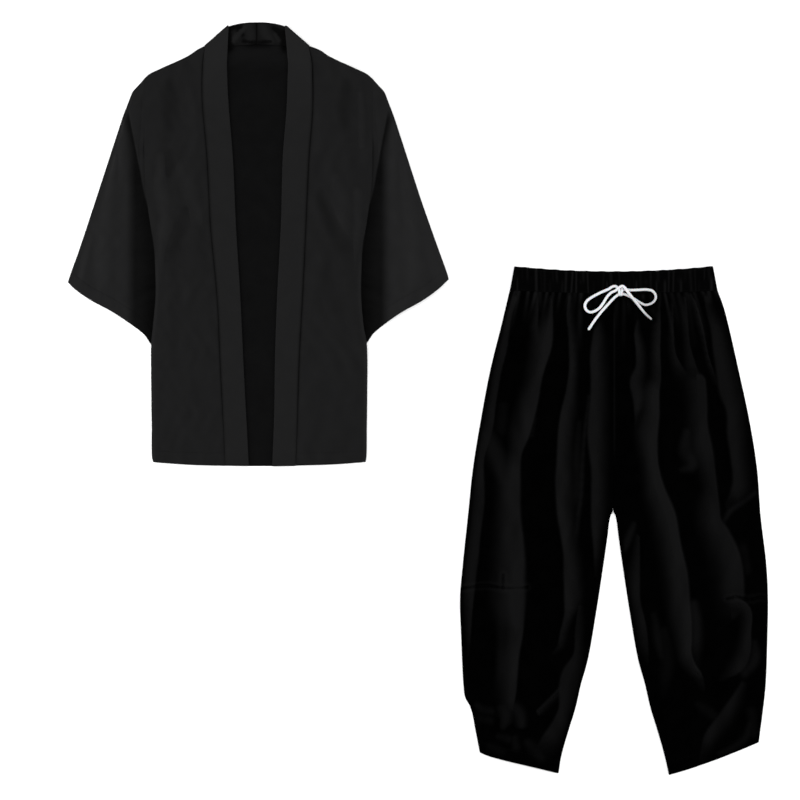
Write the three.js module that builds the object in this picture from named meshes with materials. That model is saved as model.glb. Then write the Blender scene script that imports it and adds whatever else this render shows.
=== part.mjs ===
// An open-front kimono jacket and drawstring trousers, laid out flat on one surface.
// Millimetres, +Z up from the surface, +Y towards the jacket's collar.
import * as THREE from 'three';

// Cloth and seams
const CLOTH = 1.5;
const SEAM_GAP = 0.3;
const LAYER = CLOTH + SEAM_GAP;
const BAND_CLOTH = 3;

// Where each garment's own origin lies: the jacket's at the hem's middle, the trousers' at the waist
const JACKET_AT = [0, 0];
const TROUSERS_AT = [629, 348];

// Jacket
const NECK_Y = 736;
const HEM_DROP = 7;
const CUFF_END_Y = 206;
const ARMHOLE_X = 203;
const SIDE_X = 189;
const FRONT_PUFF = 3;
const SLEEVE_FOLD_HEIGHT = 4.2;
const SLEEVE_PUFF = 2.6;
const SLEEVE_ROWS = 20;
const CENTRE_BACK_X = -3;
const CENTRE_BACK_TOP = 780;

// Trousers
const BAND_FOOT = -44;
const BAND_SAG = 10;
const BAND_FOOT_SAG = 5;
const BAND_WALL = 2.2;
const BAND_HEIGHT = 5.2;
const GATHERS = 40;
const GATHER_DEPTH = 1.1;
const GATHER_FADE = 45;
const LEG_PUFF = 2.5;
const CROTCH_Y = -437;

// Drawstring
const CORD_DIAMETER = 5;
const KNOT_AT = [12.4, -44.4, 10.6];
const KNOT_SIZE = [12, 18, 8];

const clothBlack = { color: 0x17171a, roughness: 0.85, metalness: 0, side: THREE.DoubleSide };
const cordWhite = { color: 0xe9eaee, roughness: 0.7, metalness: 0 };

const mix = THREE.MathUtils.lerp;

// Rises softly from 0 to 1 as value goes from one number to the other, whichever is larger.
function smooth(from, to, value) {
  const share = THREE.MathUtils.clamp((value - from) / (to - from), 0, 1);
  return share * share * (3 - 2 * share);
}

// A smooth line in plan through a table of [x, y] rows, read by its share of the length.
function seamLine(table) {
  const line = new THREE.CatmullRomCurve3(table.map(([x, y]) => new THREE.Vector3(x, y, 0)), false, 'centripetal');
  line.arcLengthDivisions = 400;
  return (share) => line.getPointAt(THREE.MathUtils.clamp(share, 0, 1));
}

// A panel's plan, filled in between its four edges: u runs across and v from foot to top.
function panelPlan(foot, top, left, right) {
  return (u, v) => {
    const along = foot(u).multiplyScalar(1 - v).add(top(u).multiplyScalar(v));
    const across = left(v).multiplyScalar(1 - u).add(right(v).multiplyScalar(u));
    const low = foot(0).multiplyScalar(1 - u).add(foot(1).multiplyScalar(u)).multiplyScalar(1 - v);
    const high = top(0).multiplyScalar(1 - u).add(top(1).multiplyScalar(u)).multiplyScalar(v);
    return along.add(across).sub(low).sub(high);
  };
}

// The relief of a table of soft folds at a point. A row is one fold: where it starts and ends in y,
// its width, its height (a trough's is negative), and its x at five even steps from start to end.
function foldRelief(folds, x, y) {
  let height = 0;
  for (const [start, end, width, rise, ...path] of folds) {
    const share = (y - start) / (end - start);
    if (share <= 0 || share >= 1) continue;
    const step = Math.min(Math.floor(share * 4), 3);
    const centre = mix(path[step], path[step + 1], share * 4 - step);
    const away = Math.abs(x - centre) / (width / 2);
    if (away >= 1) continue;
    const ends = smooth(0, 0.14, share) * smooth(0, 0.14, 1 - share);
    height += rise * Math.cos(away * Math.PI / 2) ** 2 * ends;
  }
  return height;
}

// A closed cloth wall between an outer and an inner skin, each a list of rows of points.
// Neighbouring rows may differ in how many points they hold. In a ring every row closes on itself.
function clothWall(outer, inner, ring = false) {
  const points = [];
  const faces = [];
  const number = (skin) => skin.map((row) => row.map((point) => points.push(point) - 1));
  const outside = number(outer);
  const inside = number(inner);
  const closed = (row) => (ring ? [...row, row[0]] : row);
  const strip = (a, b, flip) => {
    let i = 0;
    let j = 0;
    while (i < a.length - 1 || j < b.length - 1) {
      const nextA = i < a.length - 1 ? (i + 1) / (a.length - 1) : 2;
      const nextB = j < b.length - 1 ? (j + 1) / (b.length - 1) : 2;
      const face = nextA <= nextB ? [a[i], b[j], a[i + 1]] : [a[i], b[j], b[j + 1]];
      if (nextA <= nextB) i += 1;
      else j += 1;
      faces.push(flip ? [face[0], face[2], face[1]] : face);
    }
  };
  for (let r = 0; r < outside.length - 1; r += 1) {
    strip(closed(outside[r]), closed(outside[r + 1]), false);
    strip(closed(inside[r]), closed(inside[r + 1]), true);
  }
  const last = outside.length - 1;
  strip(closed(inside[0]), closed(outside[0]), false);
  strip(closed(outside[last]), closed(inside[last]), false);
  if (!ring) {
    strip(outside.map((row) => row[0]), inside.map((row) => row[0]), false);
    strip(inside.map((row) => row.at(-1)), outside.map((row) => row.at(-1)), false);
  }
  let volume = 0;
  for (const [a, b, c] of faces) {
    volume += points[a].dot(new THREE.Vector3().crossVectors(points[b], points[c]));
  }
  const index = volume > 0 ? faces.flat() : faces.flatMap(([a, b, c]) => [a, c, b]);
  const geometry = new THREE.BufferGeometry();
  geometry.setAttribute('position', new THREE.Float32BufferAttribute(points.flatMap((p) => p.toArray()), 3));
  geometry.setIndex(index);
  geometry.computeVertexNormals();
  return geometry;
}

// A lying panel: its plan raised to a height, with the cloth's thickness under it.
function raisedPanel(plan, height, columnsInRow, rowShares) {
  const outer = [];
  const inner = [];
  rowShares.forEach((v, r) => {
    const columns = columnsInRow(r);
    const tops = [];
    const unders = [];
    for (let c = 0; c <= columns; c += 1) {
      const at = plan(c / columns, v);
      const z = height(at.x, at.y, c / columns, v);
      tops.push(new THREE.Vector3(at.x, at.y, z));
      unders.push(new THREE.Vector3(at.x, at.y, z - CLOTH));
    }
    outer.push(tops);
    inner.push(unders);
  });
  return clothWall(outer, inner);
}

// A panel that lies flat on the surface, cut out along a closed outline.
function flatPanel(outline) {
  const shape = new THREE.Shape(outline.map(([x, y]) => new THREE.Vector2(x, y)));
  return new THREE.ExtrudeGeometry(shape, { depth: CLOTH, bevelEnabled: false });
}

function piece(name, geometry, finish) {
  const mesh = new THREE.Mesh(geometry, new THREE.MeshStandardMaterial(finish));
  mesh.name = name;
  return mesh;
}

const evenShares = (count) => Array.from({ length: count + 1 }, (_, i) => i / count);
const mirrored = (table, side) => table.map(([x, y]) => [x * side, y]);

// Jacket outlines, drawn for the side at +X. Rows are [x, y].
const SHOULDER = [[97, 735.5], [109, 731], [125, 721], [148, 710], [171, 699], [193, 688], [ARMHOLE_X, 679]];
const OVERARM = [
  [ARMHOLE_X + SEAM_GAP, 679], [214, 667], [223, 657], [230, 640], [240, 614], [247, 593],
  [262, 547], [290, 461], [318, 376], [333, 330], [335, 321],
];
const UNDERARM_SEAM = [
  [ARMHOLE_X, 679], [ARMHOLE_X, 600], [ARMHOLE_X, 545], [196, 500], [182, 450], [170, 400], [165, 341],
  [166, 280], [170, CUFF_END_Y],
];
const CUFF = [[335, 321], [287, 285], [237, 258], [200, 231], [188, 214], [170, CUFF_END_Y]];
const FRONT_EDGE = [
  [184, 0], [SIDE_X, 14], [SIDE_X, 120], [SIDE_X, 213], [187, 240], [182, 300], [183, 344], [185, 385],
  [190, 412], [196, 452], [200.5, 485], [202.4, 535], [ARMHOLE_X, 600], [ARMHOLE_X, 679],
];

// Collar bands, wearer's right at -X and left at +X. Rows are [y, free edge's x, seam's x].
const COLLAR_TABLES = {
  [-1]: [
    [-6, -17, -58.5], [53, -20, -61], [160, -25.7, -66.6], [293, -32, -72.8], [417, -39.6, -84.3],
    [536, -45, -90.5], [648, -53.7, -99.4], [706, -55.8, -98.4],
  ],
  [1]: [
    [-6, 24.8, 66], [83, 28.2, 69], [181, 29.6, 72], [293, 33.4, 78], [426, 40.3, 84.3],
    [541, 43.4, 89.6], [625, 50, 95.9], [706, 53, 95.2],
  ],
};
// Where each collar band is folded over at the neck. Rows are [x, y] of the free edge and of the seam.
const NECK_FOLDS = {
  [-1]: [[-54.5, 775], [-96, 738.5]],
  [1]: [[49, 775], [91, 738.5]],
};

// Soft folds of the two fronts, after foldRelief's columns.
const FRONT_FOLDS = {
  [-1]: [
    [655, 580, 34, -1.6, -152, -153, -154, -155, -156],
    [470, 320, 40, -1.8, -127, -134, -142, -150, -158],
    [520, 300, 46, 1.6, -104, -110, -118, -126, -132],
  ],
  [1]: [
    [655, 580, 34, -1.6, 157, 157, 157, 157, 157],
    [610, 530, 22, 1.2, 186, 187, 187, 187, 186],
    [480, 340, 44, -1.8, 108, 121, 135, 150, 166],
    [515, 420, 26, 1.2, 132, 138, 144, 151, 158],
  ],
};

// Soft folds of the sleeves, for the side at +X.
const SLEEVE_FOLDS = [
  [620, 250, 40, -3.4, 219, 224, 228, 229, 228],
  [470, 270, 36, 1.2, 262, 264, 266, 268, 270],
];

const hemY = (x) => -HEM_DROP * (1 - (x / SIDE_X) ** 2);

function frontHeight(side, x, y, u) {
  const out = Math.abs(x);
  const overSleeve = smooth(136, 162, out) * smooth(162, 196, y);
  const puff = FRONT_PUFF * Math.sin(Math.PI * u) ** 0.8 * smooth(-40, 60, y) * smooth(735, 640, y);
  const inland = smooth(0, 0.16, u) * smooth(0, 0.16, 1 - u);
  return LAYER + CLOTH + LAYER * overSleeve + puff + foldRelief(FRONT_FOLDS[side], x, y) * inland;
}

function jacketFront(side) {
  const collarSeam = COLLAR_TABLES[side].map(([y, , seam]) => [seam + side * SEAM_GAP, y]);
  const hemEnd = [collarSeam[0][0], hemY(collarSeam[0][0])];
  const inner = seamLine([hemEnd, ...collarSeam.slice(1), [side * 97, 735.5]]);
  const outer = seamLine(mirrored(FRONT_EDGE, side));
  const hem = seamLine([[side * 184, 0], [(side * 184 + hemEnd[0]) / 2, hemY(125) - 0.5], hemEnd]);
  const shoulder = seamLine(mirrored([...SHOULDER].reverse(), side));
  const plan = panelPlan(hem, shoulder, outer, inner);
  const height = (x, y, u) => frontHeight(side, x, y, u);
  return raisedPanel(plan, height, () => 12, evenShares(24));
}

function jacketBack() {
  const armhole = seamLine(UNDERARM_SEAM);
  const half = [
    [93, NECK_Y - SEAM_GAP],
    ...SHOULDER.slice(1, -1),
    ...evenShares(SLEEVE_ROWS).map((share) => armhole(share).toArray().slice(0, 2)),
    [170, CUFF_END_Y - 5],
    [SIDE_X, CUFF_END_Y - 5],
    [SIDE_X, 14],
    [184, 0],
  ];
  const hem = [[125, hemY(125)], [65, hemY(65)], [0, hemY(0)], [-65, hemY(65)], [-125, hemY(125)]];
  return flatPanel([...half, ...hem, ...mirrored([...half].reverse(), -1)]);
}

// A sleeve is one piece folded along the arm: flat under layer, fold, and soft upper layer.
function jacketSleeve(side) {
  const overarm = seamLine(mirrored(OVERARM, side));
  const seam = seamLine(mirrored(UNDERARM_SEAM, side).map(([x, y]) => [x + side * SEAM_GAP, y]));
  const shoulderEnd = seamLine([OVERARM[0], [ARMHOLE_X + SEAM_GAP, 678.5]].map(([x, y]) => [x * side, y]));
  const cuff = seamLine(mirrored(CUFF, side));
  const plan = panelPlan(shoulderEnd, cuff, overarm, seam);
  const upperHeight = (x, y, share) => {
    const out = Math.abs(x);
    const tucked = LAYER + CLOTH + LAYER * smooth(547, 590, y);
    const loft = SLEEVE_PUFF * Math.sin(Math.PI * Math.min(share * 1.25, 1)) ** 0.7 * smooth(682, 600, y);
    const folds = foldRelief(SLEEVE_FOLDS, out, y) * smooth(0, 0.15, share) * smooth(1, 0.85, share);
    return Math.max(mix(SLEEVE_FOLD_HEIGHT, tucked, smooth(0.1, 0.85, share)) + loft + folds, tucked - 0.001);
  };
  const bendSteps = 4;
  const outer = [];
  const inner = [];
  for (const v of evenShares(SLEEVE_ROWS)) {
    const outerRow = [];
    const innerRow = [];
    const width = plan(0, v).distanceTo(plan(1, v));
    const bend = Math.min(SLEEVE_FOLD_HEIGHT / 2 / width, 0.3);
    const add = (share, zOuter, zInner, innerShare = share) => {
      const at = plan(share, v);
      const under = plan(innerShare, v);
      outerRow.push(new THREE.Vector3(at.x, at.y, zOuter));
      innerRow.push(new THREE.Vector3(under.x, under.y, zInner));
    };
    for (const share of [1, 0.66, 0.33]) add(mix(bend, 1, share), 0, CLOTH);
    for (let b = 0; b <= bendSteps; b += 1) {
      const turn = Math.PI * b / bendSteps;
      const slim = SLEEVE_FOLD_HEIGHT / 2 - CLOTH;
      const middle = SLEEVE_FOLD_HEIGHT / 2;
      const reach = bend * (1 - Math.sin(turn));
      const innerReach = bend * (1 - Math.sin(turn) * (1 - CLOTH / middle));
      add(reach, middle - middle * Math.cos(turn), middle - slim * Math.cos(turn), innerReach);
    }
    const upperSteps = 9;
    for (let c = 1; c <= upperSteps; c += 1) {
      const share = mix(bend, 1, c / upperSteps);
      const at = plan(share, v);
      const lift = smooth(bend, bend + 0.12, share);
      const z = mix(SLEEVE_FOLD_HEIGHT, upperHeight(at.x, at.y, share), lift);
      add(share, z, z - CLOTH);
    }
    outer.push(outerRow);
    inner.push(innerRow);
  }
  return clothWall(outer, inner);
}

// A collar band runs up the front, is folded over at the neck's side and lies along the back neck.
function jacketCollar(side) {
  const table = COLLAR_TABLES[side];
  const freeEdge = seamLine(table.map(([y, free]) => [free, y]));
  const seamEdge = seamLine(table.map(([y, , seam]) => [seam, y]));
  const half = BAND_CLOTH / 2;
  const bendRadius = half + SEAM_GAP / 2;
  const top = BAND_CLOTH + SEAM_GAP + half;
  const columns = evenShares(3);
  const outer = [];
  const inner = [];
  const addRow = (free, seam, zOuter, zInner, outerShift, innerShift) => {
    const place = (share, z, shift) => {
      const at = free.clone().lerp(seam, share).add(shift);
      return new THREE.Vector3(at.x, at.y, z);
    };
    outer.push(columns.map((share) => place(share, zOuter, outerShift)));
    inner.push(columns.map((share) => place(share, zInner, innerShift)));
  };
  const still = new THREE.Vector3();
  for (const v of evenShares(18)) {
    const free = freeEdge(v);
    const z = mix(LAYER + half, top, smooth(600, 700, free.y));
    free.y = v === 0 ? hemY(free.x) : free.y;
    const seam = seamEdge(v);
    seam.y = v === 0 ? hemY(seam.x) : seam.y;
    addRow(free, seam, z + half, z - half, still, still);
  }
  const [freeFold, seamFold] = NECK_FOLDS[side].map(([x, y]) => new THREE.Vector3(x, y, 0));
  const foldLine = seamFold.clone().sub(freeFold).normalize();
  const outwards = new THREE.Vector3(foldLine.y, -foldLine.x, 0).multiplyScalar(-side);
  const inset = outwards.clone().multiplyScalar(-(bendRadius + half));
  const bendSteps = 4;
  for (let b = 0; b <= bendSteps; b += 1) {
    const turn = Math.PI * b / bendSteps;
    const reach = (radius) => inset.clone().add(outwards.clone().multiplyScalar(radius * Math.sin(turn)));
    const rise = (radius) => BAND_CLOTH + SEAM_GAP / 2 + radius * Math.cos(turn);
    const wide = bendRadius + half;
    const narrow = bendRadius - half;
    addRow(freeFold, seamFold, rise(wide), rise(narrow), reach(wide), reach(narrow));
  }
  const seamX = CENTRE_BACK_X + side * SEAM_GAP / 2;
  for (const share of [0.25, 0.5, 0.75, 1]) {
    const arch = CENTRE_BACK_TOP - (CENTRE_BACK_TOP - freeFold.y + 3) * (1 - share) ** 2;
    const free = new THREE.Vector3(mix(freeFold.x - side * 4, seamX, share), arch, 0);
    const seam = new THREE.Vector3(mix(seamFold.x - side * 6, seamX, share ** 0.7), NECK_Y, 0);
    addRow(free, seam, 0, BAND_CLOTH, still, still);
  }
  return clothWall(outer, inner);
}

// Trouser outlines. Rows are [x, y], with the wearer's right leg at -X and left leg at +X.
const OUTSEAMS = {
  [-1]: [
    [-183, BAND_FOOT], [-197, -103], [-218, -188], [-234, -273], [-248, -359], [-257, -444], [-266, -529],
    [-271, -590], [-269, -657], [-265, -742], [-262, -765], [-252, -784], [-243, -827], [-236, -863],
  ],
  [1]: [
    [183, BAND_FOOT], [202, -103], [222, -188], [240, -273], [254, -359], [259, -444], [270, -529],
    [273, -590], [271, -657], [268, -742], [264, -785], [256, -845],
  ],
};
const INSEAM = [
  [5, -444], [10, -480], [17, -529], [30, -614], [45, -699], [57, -742], [67, -785], [80, -827], [92, -870],
];
const HEMS = {
  [-1]: [[-236, -863], [-218, -870], [-133, -891], [-97, -900]],
  [1]: [[256, -845], [193, -870], [135, -891], [99, -902]],
};

// Soft folds of the two legs, after foldRelief's columns.
const LEG_FOLDS = {
  [-1]: [
    [-135, -664, 34, 5, -209, -222, -241, -251, -257],
    [-60, -808, 42, 9, -113, -166, -190, -188, -176],
    [-66, -690, 40, 9, -69, -78, -94, -73, -104],
    [-100, -540, 30, 5, -27, -28, -40, -27, -28],
    [-600, -885, 34, 6, -62, -68, -82, -108, -101],
    [-760, -850, 30, 4, -225, -214, -203, -190, -174],
  ],
  [1]: [
    [-110, -760, 36, 7, 39, 49, 85, 125, 158],
    [-85, -370, 30, 6, 78, 80, 79, 74, 84],
    [-80, -555, 38, 8, 133, 153, 160, 165, 212],
    [-85, -435, 32, 7, 160, 185, 215, 225, 198],
    [-585, -735, 32, 5, 226, 232, 230, 218, 188],
    [-745, -885, 36, 5, 227, 213, 195, 178, 166],
    [-465, -680, 28, 5, 29, 38, 39, 46, 68],
  ],
};

const bandFootY = (x) => BAND_FOOT - BAND_FOOT_SAG * (1 - (x / 183) ** 2);

function gatherRelief(x) {
  return GATHER_DEPTH * (0.5 + 0.5 * Math.cos(2 * Math.PI * (x / 366) * GATHERS));
}

function legEdges(side) {
  const waist = seamLine([0, 0.25, 0.5, 0.75, 1].map((t) => {
    const x = mix(side * 183, side * SEAM_GAP / 2, t);
    return [x, bandFootY(x) - SEAM_GAP];
  }));
  const outer = seamLine(OUTSEAMS[side].map(([x, y]) => [x, y === BAND_FOOT ? bandFootY(x) - SEAM_GAP : y]).reverse());
  const seamX = side * SEAM_GAP / 2;
  const centre = [bandFootY(0) - SEAM_GAP, -200, -350, CROTCH_Y + 25, CROTCH_Y + 10].map((y) => [seamX, y]);
  const crotch = [side * 1.2, CROTCH_Y];
  const inseam = mirrored(INSEAM, side);
  const hemEnd = HEMS[side].at(-1);
  const inner = seamLine([...centre, crotch, ...inseam, hemEnd].reverse());
  return { waist, outer, inner, hem: seamLine(HEMS[side]) };
}

function legFront(side) {
  const { waist, outer, inner, hem } = legEdges(side);
  const plan = panelPlan(hem, waist, outer, inner);
  const height = (x, y, u, v) => {
    const inland = smooth(0, 0.1, u) * smooth(0, 0.1, 1 - u);
    const puff = LEG_PUFF * Math.sin(Math.PI * u) ** 0.6;
    const gathers = gatherRelief(x) * smooth(BAND_FOOT - GATHER_FADE, BAND_FOOT, y);
    const atHem = 0.45 + 0.55 * smooth(0, 0.06, v);
    return LAYER + CLOTH + puff + gathers + foldRelief(LEG_FOLDS[side], x, y) * inland * atHem;
  };
  const plainRows = 22;
  const shares = [...evenShares(plainRows).map((v) => v * 0.94), 0.96, 0.98, 1];
  const columns = (row) => (row > plainRows ? GATHERS / 2 * 3 : 20);
  return raisedPanel(plan, height, columns, shares);
}

function legBack(side) {
  const { waist, outer, inner, hem } = legEdges(side);
  const edge = (line, steps) => evenShares(steps).slice(0, -1).map((t) => line(t).toArray().slice(0, 2));
  const back = (line) => (t) => line(1 - t);
  return flatPanel([
    ...edge(hem, 4),
    ...edge(inner, 16),
    ...edge(back(waist), 4),
    ...edge(back(outer), 16),
  ]);
}

// The waistband is one ring lying flat: a plain back, two round ends and a gathered front.
function waistband() {
  const stops = [];
  const fold = BAND_HEIGHT / 2;
  const backSteps = 8;
  for (let i = 0; i <= backSteps; i += 1) stops.push({ across: mix(1, -1, i / backSteps), turn: 0 });
  for (let i = 1; i < 5; i += 1) stops.push({ across: -1, turn: Math.PI * i / 5 });
  const frontSteps = GATHERS * 3;
  for (let i = 0; i <= frontSteps; i += 1) stops.push({ across: mix(-1, 1, i / frontSteps), turn: Math.PI });
  for (let i = 1; i < 5; i += 1) stops.push({ across: 1, turn: Math.PI * (1 + i / 5) });
  const outer = [];
  const inner = [];
  for (const drop of [0, 0.3, 0.7, 1]) {
    const halfWidth = mix(175, 183, drop) - fold;
    const row = (inset) => stops.map(({ across, turn }) => {
      const radius = fold - inset;
      const bulge = Math.sin(turn) * radius;
      const x = across * halfWidth - bulge;
      const ripple = turn === Math.PI ? gatherRelief(x) * smooth(1, 0.96, Math.abs(across)) : 0;
      const sag = mix(BAND_SAG, BAND_FOOT_SAG, drop) * (1 - (x / 183) ** 2);
      const y = mix(0, BAND_FOOT, drop) - sag;
      const z = fold - Math.cos(turn) * radius + ripple;
      return new THREE.Vector3(x, y, z);
    });
    outer.push(row(0));
    inner.push(row(BAND_WALL));
  }
  return clothWall(outer, inner, true);
}

// Drawstring routes in the trousers' own frame. Rows are [x, y, height of the cord's middle].
const CORD_ROUTES = {
  drawstring_loop_right: [
    [6.6, -39.2, 11.2], [-2, -38.2, 11.2], [-9, -41.4, 10.8], [-25, -48.8, 9.6], [-41, -57.7, 8.8],
    [-48, -64, 8.6], [-50.4, -71.2, 8.5], [-47.4, -79, 8.5], [-40.8, -82.4, 8.5], [-33.7, -80.8, 8.5],
    [-25, -75.2, 8.6], [-17.8, -66, 8.9], [-10.7, -55, 9.6], [-3.6, -48, 10.3], [6, -46.1, 10.8],
  ],
  drawstring_loop_left: [
    [19, -37.2, 12.1], [24, -40.2, 12.2], [31, -42, 12.2], [45, -42.8, 11.4], [60, -42.8, 9.8],
    [69.2, -45, 9.4], [74.4, -51.6, 9.3], [74.6, -58.6, 9.3], [69.2, -65.6, 9.3], [57.2, -69.4, 10],
    [47.9, -66, 12.6], [40, -60.5, 13.8], [32, -54.5, 14.2], [19.2, -45.9, 12.3],
  ],
  drawstring_tail_right: [
    [8.4, -51.6, 10.2], [-1, -60.6, 9.2], [-8.9, -69.4, 8.7], [-17.8, -79.6, 8.5], [-26.6, -90, 8.5],
    [-35.5, -101.6, 8.5], [-44.5, -115, 8.5],
  ],
  drawstring_tail_left: [
    [16.8, -51, 9.6], [23, -54, 8.9], [30, -58.5, 8.5], [38, -65.5, 8.4], [47, -75, 8.4], [57, -85.5, 8.8],
    [67.8, -95.8, 9.1],
  ],
};

function cordTube(route) {
  const path = new THREE.CatmullRomCurve3(route.map((point) => new THREE.Vector3(...point)), false, 'centripetal');
  const sides = 8;
  const section = new THREE.Shape();
  for (let i = 0; i < sides; i += 1) {
    const turn = 2 * Math.PI * i / sides;
    section[i ? 'lineTo' : 'moveTo'](Math.cos(turn) * CORD_DIAMETER / 2, Math.sin(turn) * CORD_DIAMETER / 2);
  }
  const steps = Math.ceil(path.getLength() / (CORD_DIAMETER * 1.4));
  return new THREE.ExtrudeGeometry(section, { steps, extrudePath: path, bevelEnabled: false });
}

function bowKnot() {
  const geometry = new THREE.SphereGeometry(0.5, 12, 8);
  geometry.scale(...KNOT_SIZE);
  geometry.translate(...KNOT_AT);
  return geometry;
}

const jacket = new THREE.Group();
jacket.add(piece('jacket_back', jacketBack(), clothBlack));
for (const [name, side] of [['right', -1], ['left', 1]]) {
  jacket.add(piece(`jacket_front_${name}`, jacketFront(side), clothBlack));
  jacket.add(piece(`jacket_sleeve_${name}`, jacketSleeve(side), clothBlack));
  jacket.add(piece(`jacket_collar_${name}`, jacketCollar(side), clothBlack));
}
jacket.position.set(...JACKET_AT, 0);

const trousers = new THREE.Group();
for (const [name, side] of [['right', -1], ['left', 1]]) {
  trousers.add(piece(`leg_front_${name}`, legFront(side), clothBlack));
  trousers.add(piece(`leg_back_${name}`, legBack(side), clothBlack));
}
trousers.add(piece('waistband', waistband(), clothBlack));
for (const [name, route] of Object.entries(CORD_ROUTES)) {
  trousers.add(piece(name, cordTube(route), cordWhite));
}
trousers.add(piece('bow_knot', bowKnot(), cordWhite));
trousers.position.set(...TROUSERS_AT, 0);

// The set's origin is the middle of the space it covers, on the surface.
const set = new THREE.Group();
set.add(jacket, trousers);
set.updateMatrixWorld(true);
const cover = new THREE.Box3().setFromObject(set, true);
set.position.set(-(cover.min.x + cover.max.x) / 2, -(cover.min.y + cover.max.y) / 2, 0);

export default set;
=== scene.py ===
import math

import bpy
import numpy as np
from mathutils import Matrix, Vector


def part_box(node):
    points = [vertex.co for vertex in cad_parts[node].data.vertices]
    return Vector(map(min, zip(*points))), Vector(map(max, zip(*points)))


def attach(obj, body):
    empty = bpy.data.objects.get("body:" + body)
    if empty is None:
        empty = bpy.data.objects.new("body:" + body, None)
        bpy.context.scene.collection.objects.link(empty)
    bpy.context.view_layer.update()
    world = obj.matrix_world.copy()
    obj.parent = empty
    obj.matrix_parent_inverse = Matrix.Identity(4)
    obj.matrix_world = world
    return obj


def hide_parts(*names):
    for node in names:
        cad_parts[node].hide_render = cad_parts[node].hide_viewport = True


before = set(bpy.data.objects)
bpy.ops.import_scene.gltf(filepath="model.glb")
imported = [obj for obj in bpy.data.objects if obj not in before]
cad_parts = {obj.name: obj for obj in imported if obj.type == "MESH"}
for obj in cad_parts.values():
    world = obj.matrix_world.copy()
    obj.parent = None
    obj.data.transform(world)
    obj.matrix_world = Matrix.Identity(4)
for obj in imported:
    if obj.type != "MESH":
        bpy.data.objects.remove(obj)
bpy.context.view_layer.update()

# The set lies on a pale floor. Both garments keep their own drawing frames, in millimetres:
# the jacket's starts at the middle of its hem, the trousers' at the middle of the waist.
MM = 0.001
jacket_low, jacket_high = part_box("jacket_back")
HEM_DROP = 7.0
JACKET_AT = ((jacket_low.x + jacket_high.x) / 2, jacket_low.y + HEM_DROP * MM)
TROUSERS_FROM_JACKET = (0.629, 0.348)
TROUSERS_AT = (JACKET_AT[0] + TROUSERS_FROM_JACKET[0], JACKET_AT[1] + TROUSERS_FROM_JACKET[1])
FLOOR_HALF = 40.0
FLOOR_Z = -0.0003


def new_material(name, values):
    """A material whose shader has the given values."""
    material = bpy.data.materials.new(name)
    material.use_nodes = True
    for socket, value in values.items():
        material.node_tree.nodes["Principled BSDF"].inputs[socket].default_value = value
    return material


floor_mesh = bpy.data.meshes.new("floor")
floor_corners = [(FLOOR_HALF * i, FLOOR_HALF * j, FLOOR_Z) for i, j in ((-1, -1), (1, -1), (1, 1), (-1, 1))]
floor_mesh.from_pydata(floor_corners, [], [(0, 1, 2, 3)])
white_floor = new_material(
    "white_floor", {"Base Color": (0.96, 0.96, 0.96, 1), "Roughness": 0.9, "Specular IOR Level": 0.0}
)
floor_mesh.materials.append(white_floor)
floor = bpy.data.objects.new("floor", floor_mesh)
bpy.context.scene.collection.objects.link(floor)

# The camera looks straight down from four metres, so that the frame is 1.42 m wide at the cloth. The
# jacket's hem lies where it does in the photo, which gives the camera its place over the set.
FRAME_PX = 800
JACKET_ORIGIN_PX = (258.5, 462)
MM_PER_PX = 1.775
CAMERA_HEIGHT = 4.0
FRAME_WIDTH = FRAME_PX * MM_PER_PX * MM
camera_data = bpy.data.cameras.new("camera")
camera_data.sensor_width = 36.0
camera_data.lens = camera_data.sensor_width * CAMERA_HEIGHT / FRAME_WIDTH
camera = bpy.data.objects.new("camera", camera_data)
camera.location = (
    JACKET_AT[0] + (FRAME_PX / 2 - JACKET_ORIGIN_PX[0]) * MM_PER_PX * MM,
    JACKET_AT[1] + (JACKET_ORIGIN_PX[1] - FRAME_PX / 2) * MM_PER_PX * MM,
    CAMERA_HEIGHT,
)
bpy.context.scene.collection.objects.link(camera)
bpy.context.scene.camera = camera
bpy.context.scene.view_settings.view_transform = "Standard"

# Soft studio light: an even white room, two long low lamps whose light grazes the folds from either
# side, and a square one overhead.
world = bpy.data.worlds.new("studio")
world.use_nodes = True
world.node_tree.nodes["Background"].inputs["Color"].default_value = (1, 1, 1, 1)
world.node_tree.nodes["Background"].inputs["Strength"].default_value = 0.8
bpy.context.scene.world = world


def soft_lamp(name, place, aim, size, power):
    """A rectangular lamp that faces a point."""
    data = bpy.data.lights.new(name, "AREA")
    data.shape = "RECTANGLE"
    data.size, data.size_y = size
    data.energy = power
    lamp = bpy.data.objects.new(name, data)
    lamp.location = place
    direction = Vector(aim) - Vector(place)
    lamp.rotation_euler = direction.to_track_quat("-Z", "Y").to_euler()
    bpy.context.scene.collection.objects.link(lamp)


soft_lamp("left_strip", (-2.6, 0.2, 1.0), (0.1, 0, 0), (0.7, 2.6), 78)
soft_lamp("right_strip", (2.6, 0.1, 1.0), (-0.1, 0, 0), (0.7, 2.6), 64)
soft_lamp("overhead", (0, 0.6, 5.5), (0, 0, 0), (3.0, 3.0), 60)

# The drawstring is one white braided cord, tied in a bow at the waistband's middle. Each end makes a
# loop and goes on through the knot as the free tail of the other side. The tails' tips are sealed, and
# the left tail is thinner towards its end, where painted shade greys it; a little painted shade also greys
# the left loop's far end.
CORD_RADIUS = 2.5
STRANDS = 8
BRAID_PITCH = 9.0
BRAID_DEPTH = 0.22
BRAID_STEP = 0.55
POINTS_AROUND = 28
TIP_LENGTH = 3.0
TIP_SHARE = 0.35
KNOT_AT = (12.4, -44.4, 10.6)
TAIL_RUN = (0, 40, 55, 75)
TAIL_SHADE = (1.0, 0.8, 0.68, 0.45)
TAIL_WIDTH = (1.0, 0.98, 0.87, 0.74)
PLAN_STEP = 2.0


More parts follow.
